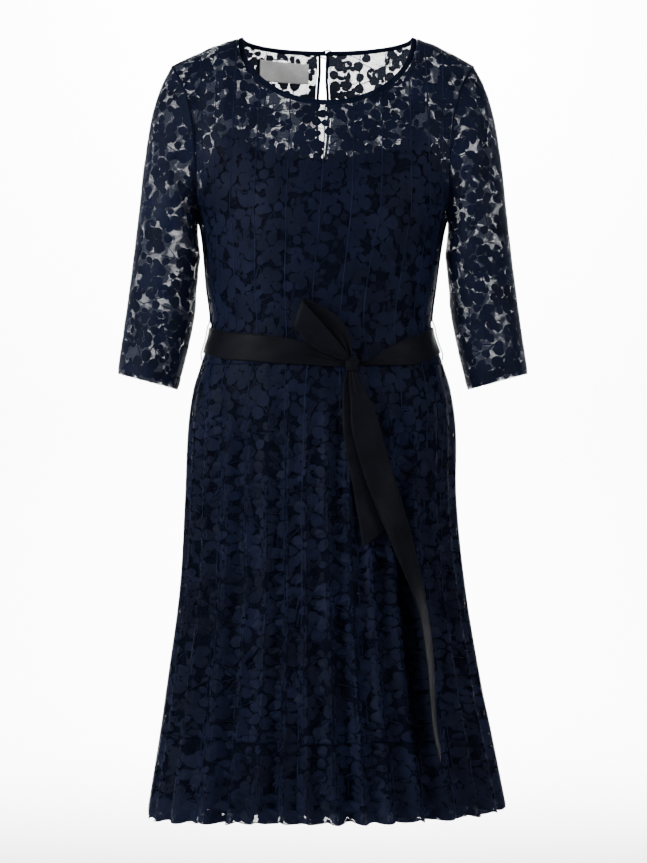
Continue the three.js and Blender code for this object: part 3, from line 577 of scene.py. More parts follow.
def makeMotifTree():  # scatters motifs over a cloth, turned at random
    tree, given = newTree("laceMotifs", motifs="Collection", kinds="Int", spacing="Float", smallest="Float",
                          largest="Float", lift="Float", seed="Int", cloth="Material")
    sheet, seed = given["Geometry"], given["seed"]
    spaced = {"Mesh": sheet, "Distance Min": given["spacing"], "Density Max": laying["density"], "Seed": seed}
    points = flow(tree, "GeometryNodeDistributePointsOnFaces", spaced, "Points", distribute_method="POISSON")
    facing = facingOut(tree)
    angle = randomNumber(tree, 0.0, 2 * math.pi, seed)
    spin = flow(tree, "FunctionNodeAxisAngleToRotation", {"Axis": (0, 0, 1), "Angle": angle})
    turn = flow(tree, "FunctionNodeRotateRotation", {"Rotation": facing, "Rotate By": spin},
                rotation_space="LOCAL")
    children = {"Collection": given["motifs"], "Separate Children": True, "Reset Children": True}
    source = flow(tree, "GeometryNodeCollectionInfo", children)
    planted = flow(tree, "GeometryNodeInstanceOnPoints",
                   {"Points": points, "Instance": source, "Pick Instance": True, "Rotation": turn,
                    "Instance Index": randomNumber(tree, 0, given["kinds"], seed, "INT"),
                    "Scale": randomNumber(tree, given["smallest"], given["largest"], seed)})
    laid = layDown(tree, withTone(tree, planted, seed), sheet, given["lift"])
    return endTree(tree, laid, given["cloth"])


def makeCordTree():  # a round cord along each line of a mesh, for tucks, seams and thread loops
    tree, given = newTree("sewnCord", radius="Float", sides="Int", cloth="Material")
    line = flow(tree, "GeometryNodeMeshToCurve", {0: given["Geometry"]})
    size = {"Radius": given["radius"], "Resolution": given["sides"]}
    ring = flow(tree, "GeometryNodeCurvePrimitiveCircle", size)
    tube = flow(tree, "GeometryNodeCurveToMesh", {"Curve": line, "Profile Curve": ring, "Fill Caps": True})
    return endTree(tree, tube, given["cloth"])


def makeRowTree():  # one shape at each point of a mesh, turned along the cloth's edge
    tree, given = newTree("edgeRow", shape="Object", sheet="Object", size="Float", uneven="Float",
                          lift="Float", seed="Int", cloth="Material")
    along = {"Rotation": facingOut(tree), "Vector": attribute(tree, "along")}
    turn = flow(tree, "FunctionNodeAlignRotationToVector", along, axis="X", pivot_axis="Z")
    source = flow(tree, "GeometryNodeObjectInfo", {"Object": given["shape"]}, "Geometry")
    sheet = flow(tree, "GeometryNodeObjectInfo", {"Object": given["sheet"]}, "Geometry")
    least = maths(tree, "SUBTRACT", 1.0, given["uneven"])
    size = maths(tree, "MULTIPLY", randomNumber(tree, least, 1.0, given["seed"]), given["size"])
    points = flow(tree, "GeometryNodeMeshToPoints", {"Mesh": given["Geometry"]})
    planted = flow(tree, "GeometryNodeInstanceOnPoints",
                   {"Points": points, "Instance": source, "Rotation": turn, "Scale": size})
    laid = layDown(tree, withTone(tree, planted, given["seed"]), sheet, given["lift"])
    return endTree(tree, laid, given["cloth"])


motifTree, cordTree, rowTree = makeMotifTree(), makeCordTree(), makeRowTree()


def grow(name, carrier, tree, smooth=True, **values):  # what a tree makes on a carrier, kept as a plain mesh
    modifier = carrier.modifiers.new(tree.name, "NODES")
    modifier.node_group = tree
    for item in tree.interface.items_tree:
        if item.in_out == "INPUT" and item.name in values:
            modifier[item.identifier] = values[item.name]
    evaluated = carrier.evaluated_get(bpy.context.evaluated_depsgraph_get())
    mesh = bpy.data.meshes.new_from_object(evaluated)
    carrier.modifiers.remove(modifier)
    mesh.name = name
    mesh.shade_smooth() if smooth else mesh.shade_flat()
    made = bpy.data.objects.new(name, mesh)
    bpy.context.scene.collection.objects.link(made)
    return made


def wear(piece, cloth, slotName, *nodes):  # gives a finished piece its cloth, its body and its place
    if cloth:
        piece.data.materials.clear()
        piece.data.materials.append(cloth)
    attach(piece, "root")
    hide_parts(*nodes)
    return piece


# flowers and leaves: flat shapes whose points keep the height they stand at on the cloth
motifSizes = {"edgeRise": 0.1 * mm, "petalRise": 0.22 * mm, "petalSides": 10, "heartSides": 6}


def petal(centre, direction, length, width, points, faces, rises, sides, rise):
    # a domed petal: blunt at its outer end, narrower where it starts
    start = len(points)
    points.append((centre[0], centre[1], 0))
    rises.append(rise)
    for k in range(sides):
        angle = 2 * math.pi * (k + 0.5) / sides
        u = math.cos(angle) * length / 2
        v = math.sin(angle) * width / 2 * (1 + 0.22 * math.cos(angle))
        points.append((centre[0] + u * math.cos(direction) - v * math.sin(direction),
                       centre[1] + u * math.sin(direction) + v * math.cos(direction), 0))
        rises.append(motifSizes["edgeRise"])
        faces.append((start, start + 1 + k, start + 1 + (k + 1) % sides))
    faces.append(tuple(start + 1 + k for k in reversed(range(sides))))


def motif(name, petalsGiven):
    # each row is x, y, direction in degrees, length and width, all in millimetres
    points, faces, rises = [], [], []
    for x, y, direction, length, width in petalsGiven:
        small = length < 8
        petal((x * mm, y * mm), math.radians(direction), length * mm, width * mm, points, faces, rises,
              motifSizes["heartSides"] if small else motifSizes["petalSides"],
              motifSizes["petalRise"] * (1.3 if small else 1))
    return addMesh(name, np.array(points), faces, None, {"rise": np.array(rises)})


def ringOfPetals(count, reach, length, width, turn, skew):
    rows = []
    for k in range(count):
        direction = turn + 360 * k / count + skew * math.sin(2.4 * k)
        angle = math.radians(direction)
        x, y = reach * math.cos(angle), reach * math.sin(angle)
        swell = 1 + 0.07 * math.sin(3.1 * k + turn)  # no two petals alike
        rows.append((x, y, direction, length * swell, width * swell))
    return rows


def spray(count, step, length, width, bend):  # leaves in pairs along a bent stem
    rows = []
    for k in range(count):
        along, side = (k // 2) * step - step, 1 if k % 2 else -1
        x, y = along, bend * (along / step) ** 2
        rows.append((x + 2, y + side * width * 0.62, side * 42, length, width))
    return rows + [(count / 2 * step - step * 0.6, bend * 1.6, 8, length, width)]


flowerKinds = [
    ringOfPetals(5, 11.3, 16, 13, 0, 5) + [(0, 0, 0, 6, 6)],
    ringOfPetals(5, 10.8, 15, 12.4, 20, 7) + [(0, 0, 0, 5.5, 5.5)],
    ringOfPetals(4, 9.8, 15, 13.6, 45, 6) + [(0, 0, 0, 5, 5)],
    ringOfPetals(6, 12.5, 15, 11, 10, 4) + [(0, 0, 0, 7, 7)],
]
stem = 1.3  # width of a bare stem
fillKinds = [
    spray(4, 9, 13, 7.5, 1.5) + [(-2, 0, 0, 34, stem)],
    spray(5, 8, 11, 7, -2) + [(0, -1, 4, 38, stem)],
    [(-7, 0, 200, 14, 13), (7, 3, 30, 13, 11), (0, 12, 80, 22, stem), (0, -10, 262, 20, stem)],
    [(0, 7, 90, 13, 11.5), (-7, -5, 215, 12, 10), (9, -7, 320, 26, stem), (2, -9, 280, 22, stem)],
    ringOfPetals(3, 7.5, 11.5, 9, 0, 8) + [(0, 0, 40, 36, stem), (2, 2, 130, 30, stem)],
]


def motifCollection(name, kinds):
    group = bpy.data.collections.new(name)
    for k, rows in enumerate(kinds):
        shape = motif(f"{name}_{k}", rows)
        group.objects.link(shape)
        bpy.context.scene.collection.objects.unlink(shape)
    return group


flowers, fills = motifCollection("flower", flowerKinds), motifCollection("filling", fillKinds)
edgePetal = motif("edge_petal", [(0, 0, 90, 19, 24)])
motifLayers = [  # collection, kinds, spacing, smallest, largest, lift
    (fills, len(fillKinds), 18.5 * mm, 0.8, 1.08, 0.1 * mm),
    (flowers, len(flowerKinds), 41 * mm, 0.95, 1.25, 0.3 * mm),
]


def joined(name, parts):
    with bpy.context.temp_override(active_object=parts[0], selected_editable_objects=parts,
                                   selected_objects=parts, object=parts[0]):
        bpy.ops.object.join()
    parts[0].name = name
    parts[0].data.name = name
    return parts[0]


def laceMotifs(name, plain, points, normals, closed, seed, edging=None):
    # plain holds the form's points and normals, before its folds
    turned = facesInward(points, normals[0, 0])
    carrier = addMesh("carrier", plain[0], gridFaces(*points.shape[:2], closed, 0, turned), None,
                      {"formNormal": plain[1], "clothNormal": normals, "shift": points - plain[0]})
    layers = [grow(name, carrier, motifTree, motifs=group, kinds=kinds - 1, spacing=spacing,
                   smallest=smallest, largest=largest, lift=lift, seed=seed + k, cloth=petalCloth,
                   smooth=False)
              for k, (group, kinds, spacing, smallest, largest, lift) in enumerate(motifLayers)]
    if edging:  # rows of points along the edge, each with its shape's size
        for k, (row, out, along, size) in enumerate(edging):
            starts = addMesh("starts", row, [], None, {"formNormal": out, "along": along})
            layers.append(grow(name, starts, rowTree, shape=edgePetal, sheet=carrier, size=size, uneven=0.15,
                               lift=(0.45 - 0.1 * k) * mm, seed=seed + 7 + k, cloth=petalCloth, smooth=False))
            bpy.data.objects.remove(starts)
    bpy.data.objects.remove(carrier)
    return joined(name, layers)


def cordsAlong(name, lines, radius, sides, cloth=threadCloth):  # lines are arrays of points
    points, edges = np.concatenate(lines), []
    start = 0
    for line in lines:
        edges += [(start + k, start + k + 1) for k in range(len(line) - 1)]
        start += len(line)
    mesh = bpy.data.meshes.new("carrier")
    mesh.from_pydata(points.tolist(), edges, [])
    carrier = bpy.data.objects.new("carrier", mesh)
    bpy.context.scene.collection.objects.link(carrier)
    made = grow(name, carrier, cordTree, radius=radius, sides=sides, cloth=cloth)
    bpy.data.objects.remove(carrier)
    return made


# the slip's top edge, above which the lace is see-through
slipTopEdge = [  # share, height in front, height behind, in millimetres
    (0, -149, -160), (0.25, -143, -155), (0.42, -127, -140), (0.5, -114, -128), (0.57, -114, -128),
    (0.7, -140, -150), (0.85, -185, -190), (1, -226, -226),
]


def slipTopZ(panel, across):
    table = np.array(slipTopEdge)
    return np.interp(np.abs(across), table[:, 0], table[:, 1 if panel["side"] < 0 else 2] * mm)


# where the net's colour is painted pale, a painted glow of light shining through it
def backlitShare(panel, across, z):  # 1 where no slip lies behind the net
    above = smoothStep(z, slipTopZ(panel, across) - 4 * mm, slipTopZ(panel, across) + 4 * mm)
    below = 1 - smoothStep(z, form["slipHemZ"] - 3 * mm, form["slipHemZ"] + 3 * mm)
    return np.maximum(above, below)


# lace panels: each one a thin net with motifs on it
net = {"thick": 0.5 * mm, "seamShare": 0.0045}  # the share of a half panel that its side seam takes
seeds = {"skirt_front": 11, "skirt_back": 12, "flounce_front": 13, "flounce_back": 14, "bodice_front": 15,
         "bodice_back_left": 16, "bodice_back_right": 17, "sleeve_left": 18, "sleeve_right": 19}
sheets = {}  # each finished sheet by the solid that it stands for, and what is sewn to it


def lacePanel(name, panel, across, level, edging=None):
    across, level = np.broadcast_arrays(across, level)
    points, normals = laceSurface(panel, across, level)
    # the net's colour is painted pale where no slip lies behind it, as painted light shining through
    values = {"backlitPale": backlitShare(panel, across, points[..., 2])}
    piece = shell(name + "_net", points, normals, net["thick"], flatPlaces(points), values)
    wear(piece, netCloth, "lace", name)
    plain = asGrid(panel, across, level, False)
    motifs = laceMotifs(name + "_motifs", plain, points, normals, False, seeds[name], edging)
    sheets[name] = (piece, [wear(motifs, None, "lace", name)])


def hemZ(across):
    return form["hemZ"] - form["hemDip"] * smoothStep(-across, 0.1, 1)


scallop = {"front": 24, "depth": 4.5 * mm}


def scallopRise(across):
    return scallop["depth"] * (1 - np.abs(np.sin(math.pi * across * scallop["front"] / 2)) ** 0.7)


# rows of edge petals: shift along the scallops, height above the hem and size
hemPetals = [(0.5, 9.5 * mm, 1.15), (0.0, 21 * mm, 1.0), (0.5, 31 * mm, 0.8)]


def hemEdging(panel):  # petals in each scallop of the hem, and more between them a little higher
    rows = []
    count = scallop["front"]
    for shift, height, size in hemPetals:
        places = np.arange(count + (shift == 0.0)) + shift
        run = np.clip(places * 2 / count - 1, -0.985, 0.985)
        points, normals = onBody(panel, run, hemZ(run) + height)
        beside, _ = onBody(panel, run + 0.004, hemZ(run) + height)
        rows.append((points, normals, beside - points, size))
    return rows


def rowsBetween(bottom, top, count):
    return bottom + (top - bottom) * np.linspace(0, 1, count)[:, None]


def columnsAcross(count):  # shares from one side seam to the other
    edge = 1 - net["seamShare"]
    return np.linspace(-edge, edge, count)


gap = 0.4 * mm  # half the space left for a level seam
panelGrid = {"columns": 121, "skirtRows": 105, "hemColumns": 169, "hemRows": 26,
             "bodiceRows": 56, "backColumns": 61}
columns, hemColumns = columnsAcross(panelGrid["columns"]), columnsAcross(panelGrid["hemColumns"])
skirtRows = rowsBetween(flounceSeamZ + gap, waistZ - gap, panelGrid["skirtRows"])
hemRows = rowsBetween(hemZ(hemColumns) + scallopRise(hemColumns), flounceSeamZ - gap, panelGrid["hemRows"])
for panel in (frontSide, backSide):
    lacePanel("skirt_" + panel["name"], panel, columns, skirtRows)
    lacePanel("flounce_" + panel["name"], panel, hemColumns, hemRows, hemEdging(panel))

bodiceLevels = np.concatenate([rowsBetween(waistZ + gap, form["underarmZ"], panelGrid["bodiceRows"]),
                               1 + rowsBetween(0, 1, panelGrid["bodiceRows"])[1:]])
lacePanel("bodice_front", frontSide, columns, bodiceLevels)

keyhole = {"bottom": -135 * mm, "width": 11 * mm, "top": 4 * mm, "bind": 4.5 * mm, "seam": 0.3 * mm}


def slitHalf(z):
    rise = np.clip((z - keyhole["bottom"]) / -keyhole["bottom"], 0, 1)
    belly = keyhole["width"] * np.sin(math.pi * rise ** 0.8)
    return np.maximum(belly, keyhole["top"] * smoothStep(rise, 0, 0.5)) / 2


def acrossAtX(panel, level, x):  # the share across where a level of the panel reaches x
    tries = np.linspace(0, 0.3, 61)
    places = bodyPoint(panel, tries[None, :] * np.sign(x), np.full((1, 61), level), False)[0, :, 0]
    return np.sign(x) * np.interp(abs(x), places * np.sign(x), tries)


def backMiddle(out, level):
    z = bodyPoint(backSide, np.zeros((1, 1)), np.full((1, 1), level))[0, 0, 2]
    closed = z < keyhole["bottom"] - keyhole["bind"]
    x = 0.15 * mm if closed else slitHalf(z) + keyhole["bind"] + keyhole["seam"]
    return acrossAtX(backSide, level, out * x)


for name, out in (("bodice_back_left", 1), ("bodice_back_right", -1)):
    middle = np.array([backMiddle(out, level) for level in bodiceLevels])[:, None]
    share = np.linspace(0, 1, panelGrid["backColumns"])
    lacePanel(name, backSide, middle + (out * (1 - net["seamShare"]) - middle) * share, bodiceLevels)
print("lace panels made")

# sleeves: rings of outer x and z, inner x and z, and half depth, in millimetres,
# from the underarm to the cuff
sleeveRings = [
    (213, -50, 164.5, -228, 56), (225, -92, 162, -250, 56), (234, -150, 160, -272, 56),
    (241, -215, 161.5, -300, 55), (250, -290, 166, -336, 52), (259, -355, 176, -386, 49),
    (268, -422, 190, -443, 46),
]
# soft creases: ring, angle round the sleeve in degrees, lengths along and round, slant,
# depth in millimetres
sleeveCreases = [
    (3.7, 200, 0.55, 40, 0.9, -3.2), (4.5, 170, 0.5, 38, -0.8, -2.8), (2.9, 60, 0.7, 34, 0.7, -2.2),
    (5.4, 75, 0.6, 40, -0.9, -2.4), (1.6, 130, 0.7, 36, 0.8, -2.6), (5.9, 250, 0.5, 30, 0.6, -2.0),
    (2.2, 290, 0.8, 36, -0.7, -2.4),
]
sleeve = {"rows": 118, "round": 120, "cuffScallops": 9, "cuffDepth": 4 * mm}


def sleeveGrid(out):
    turn = np.linspace(0, 2 * math.pi, sleeve["round"], endpoint=False)
    lift, forward = np.cos(turn), np.sin(turn)
    rings = []
    for outX, outZ, inX, inZ, deep in np.array(sleeveRings) * mm:
        rings.append(np.stack([out * ((outX + inX) / 2 + (outX - inX) / 2 * lift), -deep * forward,
                               (outZ + inZ) / 2 + (outZ - inZ) / 2 * lift], -1))
    rise = (1 + lift) / 2
    edge = np.where((forward >= 0)[:, None], upperPoint(frontSide, np.full_like(rise, out), rise),
                    upperPoint(backSide, np.full_like(rise, out), rise))
    toward = rings[0] - edge
    edge = edge + toward / np.maximum(np.linalg.norm(toward, axis=1, keepdims=True), 1e-6) * 0.3 * mm
    edge[:, 0] += out * (0.5 + 0.9 * forward ** 2) * mm  # clear of the bodice's edge
    rings = np.array([edge] + rings)
    at = np.linspace(0, len(rings) - 1, sleeve["rows"])
    points = curveThrough(np.arange(len(rings)), rings, at)
    cuff = sleeve["cuffDepth"] * (1 - np.abs(np.sin(turn * sleeve["cuffScallops"])) ** 0.7)
    last = smoothStep(at, len(rings) - 2, len(rings) - 1)[:, None]
    points[..., 2] += cuff * last
    centre = points.mean(1, keepdims=True)
    normals = roundNormals(points, points - centre)
    depth = np.zeros(points.shape[:2])
    ring, degrees = at[:, None], np.degrees(turn)[None, :]
    for ring0, turn0, reach, spread, slant, deep in sleeveCreases:
        aside = (degrees - turn0 - slant * 40 * (ring - ring0) + 180) % 360 - 180
        depth += deep * mm * np.exp(-((ring - ring0) / reach) ** 2 - (aside / spread) ** 2)
    around, down = points[..., 1] + points[..., 0], points[..., 2] * 0.5
    depth += unevenWaves(around, down, 21 if out > 0 else 22, 6) * 0.7 * mm
    depth *= smoothStep(ring, 0, 0.8)
    return (points, normals), points + normals * depth[..., None]


cuffPetals = {"size": 0.72, "row": -4}
armholes = []
for name, out in (("sleeve_left", 1), ("sleeve_right", -1)):
    plain, points = sleeveGrid(out)
    normals = roundNormals(points, plain[1])
    flat = np.stack([lengthsAlong(points, 1), lengthsAlong(points, 0)], -1)
    # the sleeves' net is painted pale all round, as painted light shining through it
    values = {"backlitPale": np.ones(points.shape[:2])}
    armholes.append(points[0] - np.array([out * 0.5 * mm, 0, 0]))
    piece = shell(name + "_net", points, normals, net["thick"], flat, values, closed=True)
    wear(piece, netCloth, "lace", name)
    count = 2 * sleeve["cuffScallops"]  # one petal in each scallop
    spot = np.round((np.arange(count) + 0.5) / count * sleeve["round"]).astype(int) % sleeve["round"]
    rim, outward = plain[0][cuffPetals["row"]], plain[1][cuffPetals["row"]]
    edging = [(rim[spot], outward[spot], np.roll(rim, -1, 0)[spot] - rim[spot], cuffPetals["size"])]
    motifs = laceMotifs(name + "_motifs", plain, points, normals, True, seeds[name], edging)
    sheets[name] = (piece, [wear(motifs, None, "lace", name)])
print("sleeves made")


# tucks and seams, as fine cords on the lace; the tuck cords are painted lighter than the lace, a painted
# highlight along each ridge
seams = {"radius": 0.7 * mm, "sides": 6, "sideRadius": 1.7 * mm, "armholeRadius": 1.4 * mm, "roundSides": 8,
         "tuckOut": 0.75 * mm, "edge": 0.995, "top": 1.995}


def bodyLine(panel, across, level, out):  # a line that lies on the lace, out from its face
    point, normal = onBody(panel, across, level, True)
    lift = laceLift(panel, np.broadcast_to(across, point.shape[:-1]), point)
    return point + normal * (lift + out)[..., None]


def tuckLine(panel, number):
    level = np.concatenate([np.linspace(form["hemZ"] + 6 * mm, form["underarmZ"] - mm, 150),
                            np.linspace(1, seams["top"], 50)])
    across = tuckShare(panel, number, np.minimum(level, -200 * mm))  # a first guess above the underarm
    for _ in range(4):  # the share depends on the height, and the height a little on the share
        across = tuckShare(panel, number, bodyPoint(panel, across, level)[..., 2])
    return bodyLine(panel, across, level, seams["tuckOut"])


extras = {"front": [], "back": []}  # what is sewn on all down each side of the dress
for panel in (frontSide, backSide):
    key = panel["name"]
    lines = [tuckLine(panel, k) for k in range(len(tuckShares[key]))]
    made = cordsAlong(f"{key}_tucks", lines, tucks["ridge"], tucks["sides"], tuckHighlightCloth)
    extras[key].append(wear(made, None, "lace", f"skirt_{key}"))
    run = np.linspace(-seams["edge"], seams["edge"], 200)
    finer = np.linspace(-seams["edge"], seams["edge"], 400)
    hemEdge = np.interp(finer, run, hemZ(run) + scallopRise(run))
    lines = [bodyLine(panel, run, flounceSeamZ, 0.3 * mm), bodyLine(panel, run, waistZ, 0.3 * mm),
             bodyLine(panel, finer, hemEdge + 0.5 * mm, -0.2 * mm)]
    made = cordsAlong(f"{key}_seams", lines, seams["radius"], seams["sides"])
    extras[key].append(wear(made, None, "lace", f"flounce_{key}"))

rings = [np.concatenate([ring, ring[:1]]) for ring in armholes]
made = cordsAlong("armhole_seams", rings, seams["armholeRadius"], seams["roundSides"])
extras["front"].append(wear(made, None, "lace", "sleeve_left"))

lines = [bodyLine(frontSide, np.full(160, out),
                  np.linspace(hemZ(out) + 2 * mm, form["underarmZ"], 160), -1.0 * mm)
         for out in (-1.0, 1.0)]
made = cordsAlong("side_seams", lines, seams["sideRadius"], seams["roundSides"])
extras["front"].append(wear(made, None, "lace", "skirt_front"))

lines = [bodyLine(frontSide, out * np.linspace(form["neckShare"], 1, 40), np.full(40, 1.999), 0.4 * mm)
         for out in (-1, 1)]
made = cordsAlong("shoulder_seams", lines, seams["radius"], seams["sides"])
extras["front"].append(wear(made, None, "lace", "bodice_front"))

# the slip: satin, close inside the lace, with two narrow straps
slip = {"thick": 1.0 * mm, "inside": 0.9 * mm, "rows": 130, "soft": 0.5 * mm,
        "seeds": {"front": 31, "back": 32}, "strapEdges": (0.505, 0.565), "strapIn": 2.4 * mm,
        "strapRows": 40, "strapColumns": 7}


def satinPiece(name, points, normals):
    piece = shell(name + "_satin", points, normals, slip["thick"], flatPlaces(points))
    sheets[name] = (wear(piece, slipCloth, "slip_satin", name), [])


def slipPanel(panel):
    across = np.broadcast_to(columns, (slip["rows"], len(columns)))
    z = rowsBetween(form["slipHemZ"], slipTopZ(panel, columns), slip["rows"])
    points, normals = asGrid(panel, across, levelOfHeight(panel, across, z), False)
    near = form["wall"] + form["layerGap"]
    # clear of the lace's folds, and near it at the side seams
    hang = section(5, z) * 1.25 + fluteDepth(z) * 1.1
    inset = near + hang * (1 - np.abs(across) ** 10) + slip["inside"]
    waves = unevenWaves(points[..., 0], z * 0.3, slip["seeds"][panel["name"]], 5)
    soft = waves * slip["soft"] * (1 - np.abs(across) ** 16)
    satinPiece("slip_" + panel["name"], points + normals * (soft - inset)[..., None], normals)


slipPanel(frontSide)
slipPanel(backSide)

for name, out in (("slip_strap_left", 1), ("slip_strap_right", -1)):
    shares = np.linspace(*slip["strapEdges"], slip["strapColumns"]) * out
    middle = shares[len(shares) // 2]
    route = []
    for panel, way in ((frontSide, 1), (backSide, -1)):  # up the front, over the shoulder and down the back
        start = levelOfHeight(panel, middle, slipTopZ(panel, middle) - 1 * mm)
        levels = np.linspace(float(start), 1.998, slip["strapRows"])
        point, normal = onBody(panel, *np.meshgrid(shares, levels))
        route.append(((point - normal * slip["strapIn"])[::way], normal[::way]))
    satinPiece(name, *(np.concatenate(pair) for pair in zip(*route)))
print("slip made")


# bindings: a folded strip rolled over each raw edge


def unit(vectors):
    return vectors / np.maximum(np.linalg.norm(vectors, axis=-1, keepdims=True), 1e-12)


binding = {"sides": 14, "square": 0.7, "neckHalf": 1.35 * mm, "neckIn": 0.5 * mm, "slitHalf": 1.3 * mm,
           "slitIn": 0.4 * mm, "slitShare": 0.92}


def rolledEdge(name, centre, widthWay, outWay, halfWidth, halfThick):
    # a strip with a rounded section, along a line of centres, closed at both ends
    sides = binding["sides"]
    turn = np.linspace(0, 2 * math.pi, sides, endpoint=False)
    wide, deep = (np.sign(way) * np.abs(way) ** binding["square"] for way in (np.cos(turn), np.sin(turn)))
    run = lengthsAlong(centre[:, None], 0)[:, 0]
    ripple = 1 + 0.07 * np.sin(run * 900) * np.sin(run * 211)
    breadth = wide[None, :] * np.asarray(halfWidth).reshape(-1, 1)
    points = (centre[:, None] + widthWay[:, None] * breadth[..., None]
              + outWay[:, None] * (deep[None, :] * halfThick * ripple[:, None])[..., None])
    rows = len(centre)
    turned = facesInward(points, points[0, 0] - centre[0])
    faces = gridFaces(rows, sides, True, 0, turned)
    for ring in (0, rows - 1):
        cap = [ring * sides + k for k in range(sides)]
        faces.append(cap if (ring == 0) == turned else cap[::-1])
    flat = np.stack([lengthsAlong(points, 1), np.broadcast_to(run[:, None], points.shape[:2])], -1)
    wear(addMesh(name + "_rolled", points, faces, flat), edgeCloth, "binding", name)


def bandEdge(turn, share):  # the neck band's lower edge at share 0 and its upper edge at 1
    isBack = np.cos(turn) >= 0
    reach = np.abs(np.cos(turn))
    half = form["neckHalf"] + (form["bandHalf"] - form["neckHalf"]) * share
    plan, drop = (np.where(isBack, backSide[low] + (backSide[high] - backSide[low]) * share,
                           frontSide[low] + (frontSide[high] - frontSide[low]) * share)
                  for low, high in (("plan", "bandPlan"), ("drop", "bandDrop")))
    return np.stack([form["neckLean"] + half * np.sin(turn),
                     form["neckY"] + np.where(isBack, 1, -1) * plan * reach,
                     form["neckZ"] + form["bandRise"] * share - drop * reach], -1)


endTurn = 2 * mm / form["neckHalf"]  # the band's two ends stop short of each other behind
turn = np.linspace(endTurn, 2 * math.pi - endTurn, 260)
low, high = bandEdge(turn, 0), bandEdge(turn, 1)
widthWay = unit(high - low)
outWay = unit(np.cross(np.gradient(low, axis=0), widthWay))
outWay *= np.sign(((low - low.mean(0)) * outWay).sum())
rolledEdge("neck_binding", (low + high) / 2 - outWay * binding["neckIn"], widthWay, outWay,
           np.linalg.norm(high - low, axis=1) / 2, binding["neckHalf"])

# down one side of the keyhole, round its foot and up the other side
footHalf = keyhole["bind"] / 2
legLevels = np.linspace(1.997, float(levelOfHeight(backSide, 0, keyhole["bottom"])), 40)
legs = [[acrossAtX(backSide, level, out * (slitHalf(bodyPoint(backSide, 0, level)[2]) + footHalf))
         for level in legLevels] for out in (-1, 1)]
arc = np.linspace(0, math.pi, 12)[1:-1]
footLevels = levelOfHeight(backSide, 0, keyhole["bottom"] - footHalf * np.sin(arc))
foot = [acrossAtX(backSide, level, -math.copysign(max(abs(x), 1e-6), x))
        for level, x in zip(footLevels, footHalf * np.cos(arc))]
across = np.concatenate([legs[0], foot, legs[1][::-1]])
centre, outWay = onBody(backSide, across, np.concatenate([legLevels, footLevels, legLevels[::-1]]))
widthWay = unit(np.cross(outWay, unit(np.gradient(centre, axis=0))))
rolledEdge("keyhole_binding", centre - outWay * binding["slitIn"], widthWay, outWay,
           footHalf * binding["slitShare"], binding["slitHalf"])

# label, button and thread loops
label = {"columns": (-0.365, -0.095), "rises": (0.83, 0.95), "grid": (37, 19),
         "inside": 1.9 * mm, "thick": 0.8 * mm, "curl": 0.5 * mm}
wide, high = label["grid"]
share, rise = np.meshgrid(np.linspace(*label["columns"], wide), 1 + np.linspace(*label["rises"], high))
points, normals = onBody(backSide, share, rise)
s, t = np.meshgrid(np.linspace(-1, 1, wide), np.linspace(-1, 1, high))
curl = label["curl"] * (np.abs(s) ** 5 + 0.4 * np.sin(2.2 * s + 1.4 * t) * (1 - t * t))
points = points - normals * (label["inside"] + curl[..., None])
piece = shell("neck_label_satin", points, normals, label["thick"], flatPlaces(points))
sheets["neck_label"] = (wear(piece, labelCloth, "label_satin", "neck_label"), [])

button = {"place": (8 * mm, 60.05 * mm, 5 * mm), "radius": 4.5 * mm, "thick": 3.6 * mm, "grid": (18, 32)}


def clothButton():  # a small domed button covered in the binding's cloth
    rows, columns = button["grid"]
    turn = np.linspace(0, 2 * math.pi, columns, endpoint=False)
    rise = np.linspace(-math.pi / 2, math.pi / 2, rows)[:, None]
    bulge = np.cos(rise) ** 0.8 * button["radius"]
    height = np.broadcast_to(np.sin(rise), (rows, columns)) * button["thick"] / 2
    points = np.stack([bulge * np.cos(turn), height, bulge * np.sin(turn)], -1) + np.array(button["place"])
    points[0], points[-1] = points[0].mean(0), points[-1].mean(0)
    made = addMesh("neck_button_cloth", points, gridFaces(rows, columns, True))
    cleanMesh(made)
    wear(made, threadCloth, "binding", "neck_button")


clothButton()
thread = {"radius": 0.8, "sides": 8}  # in millimetres, as the two routes below are


def threadLoop(name, pieceName, line):
    wear(cordsAlong(pieceName, [line], thread["radius"] * mm, thread["sides"]), None, "binding", name)


def smoothLine(rows, per=8):
    rows = np.asarray(rows, float)
    return curveThrough(np.arange(len(rows)), rows, np.linspace(0, len(rows) - 1, (len(rows) - 1) * per + 1))


x, y, z = (value / mm for value in button["place"])
y -= button["thick"] / mm / 2 - (thread["radius"] + 1.6)
reach = button["radius"] / mm + thread["radius"] + 0.8
buttonRoute = [(-9, y - 1.8, z + 1.5), (-2, y - 0.6, z + 3.6), (x, y, z + reach), (x + reach, y, z),
               (x, y, z - reach), (-2, y - 0.4, z - 3), (-9, y - 1.4, z - 1.5)]
threadLoop("button_loop", "button_loop_thread", smoothLine(buttonRoute) * mm)

beltLoop = {"top": -350, "bottom": -404, "bulge": 5}  # heights, and how far it stands off the side seam
top, bottom, bulge, rest = beltLoop["top"], beltLoop["bottom"], beltLoop["bulge"], thread["radius"] + 1.1
beltLoopRoute = [(top, rest), (top - 5, bulge * 0.6), (top - 12, bulge), ((top + bottom) / 2, bulge),
                 (bottom + 10, bulge), (bottom + 4, bulge * 0.6), (bottom, rest)]
for name, out in (("belt_loop_left", 1), ("belt_loop_right", -1)):
    line = smoothLine(np.array(beltLoopRoute) * mm)
    point, _ = onBody(frontSide, np.full(len(line), float(out)), line[:, 0])
    threadLoop(name, name + "_thread", point + line[:, 1:] * np.array([out, 0.0, 0.0]))
print("bindings, label and loops made")

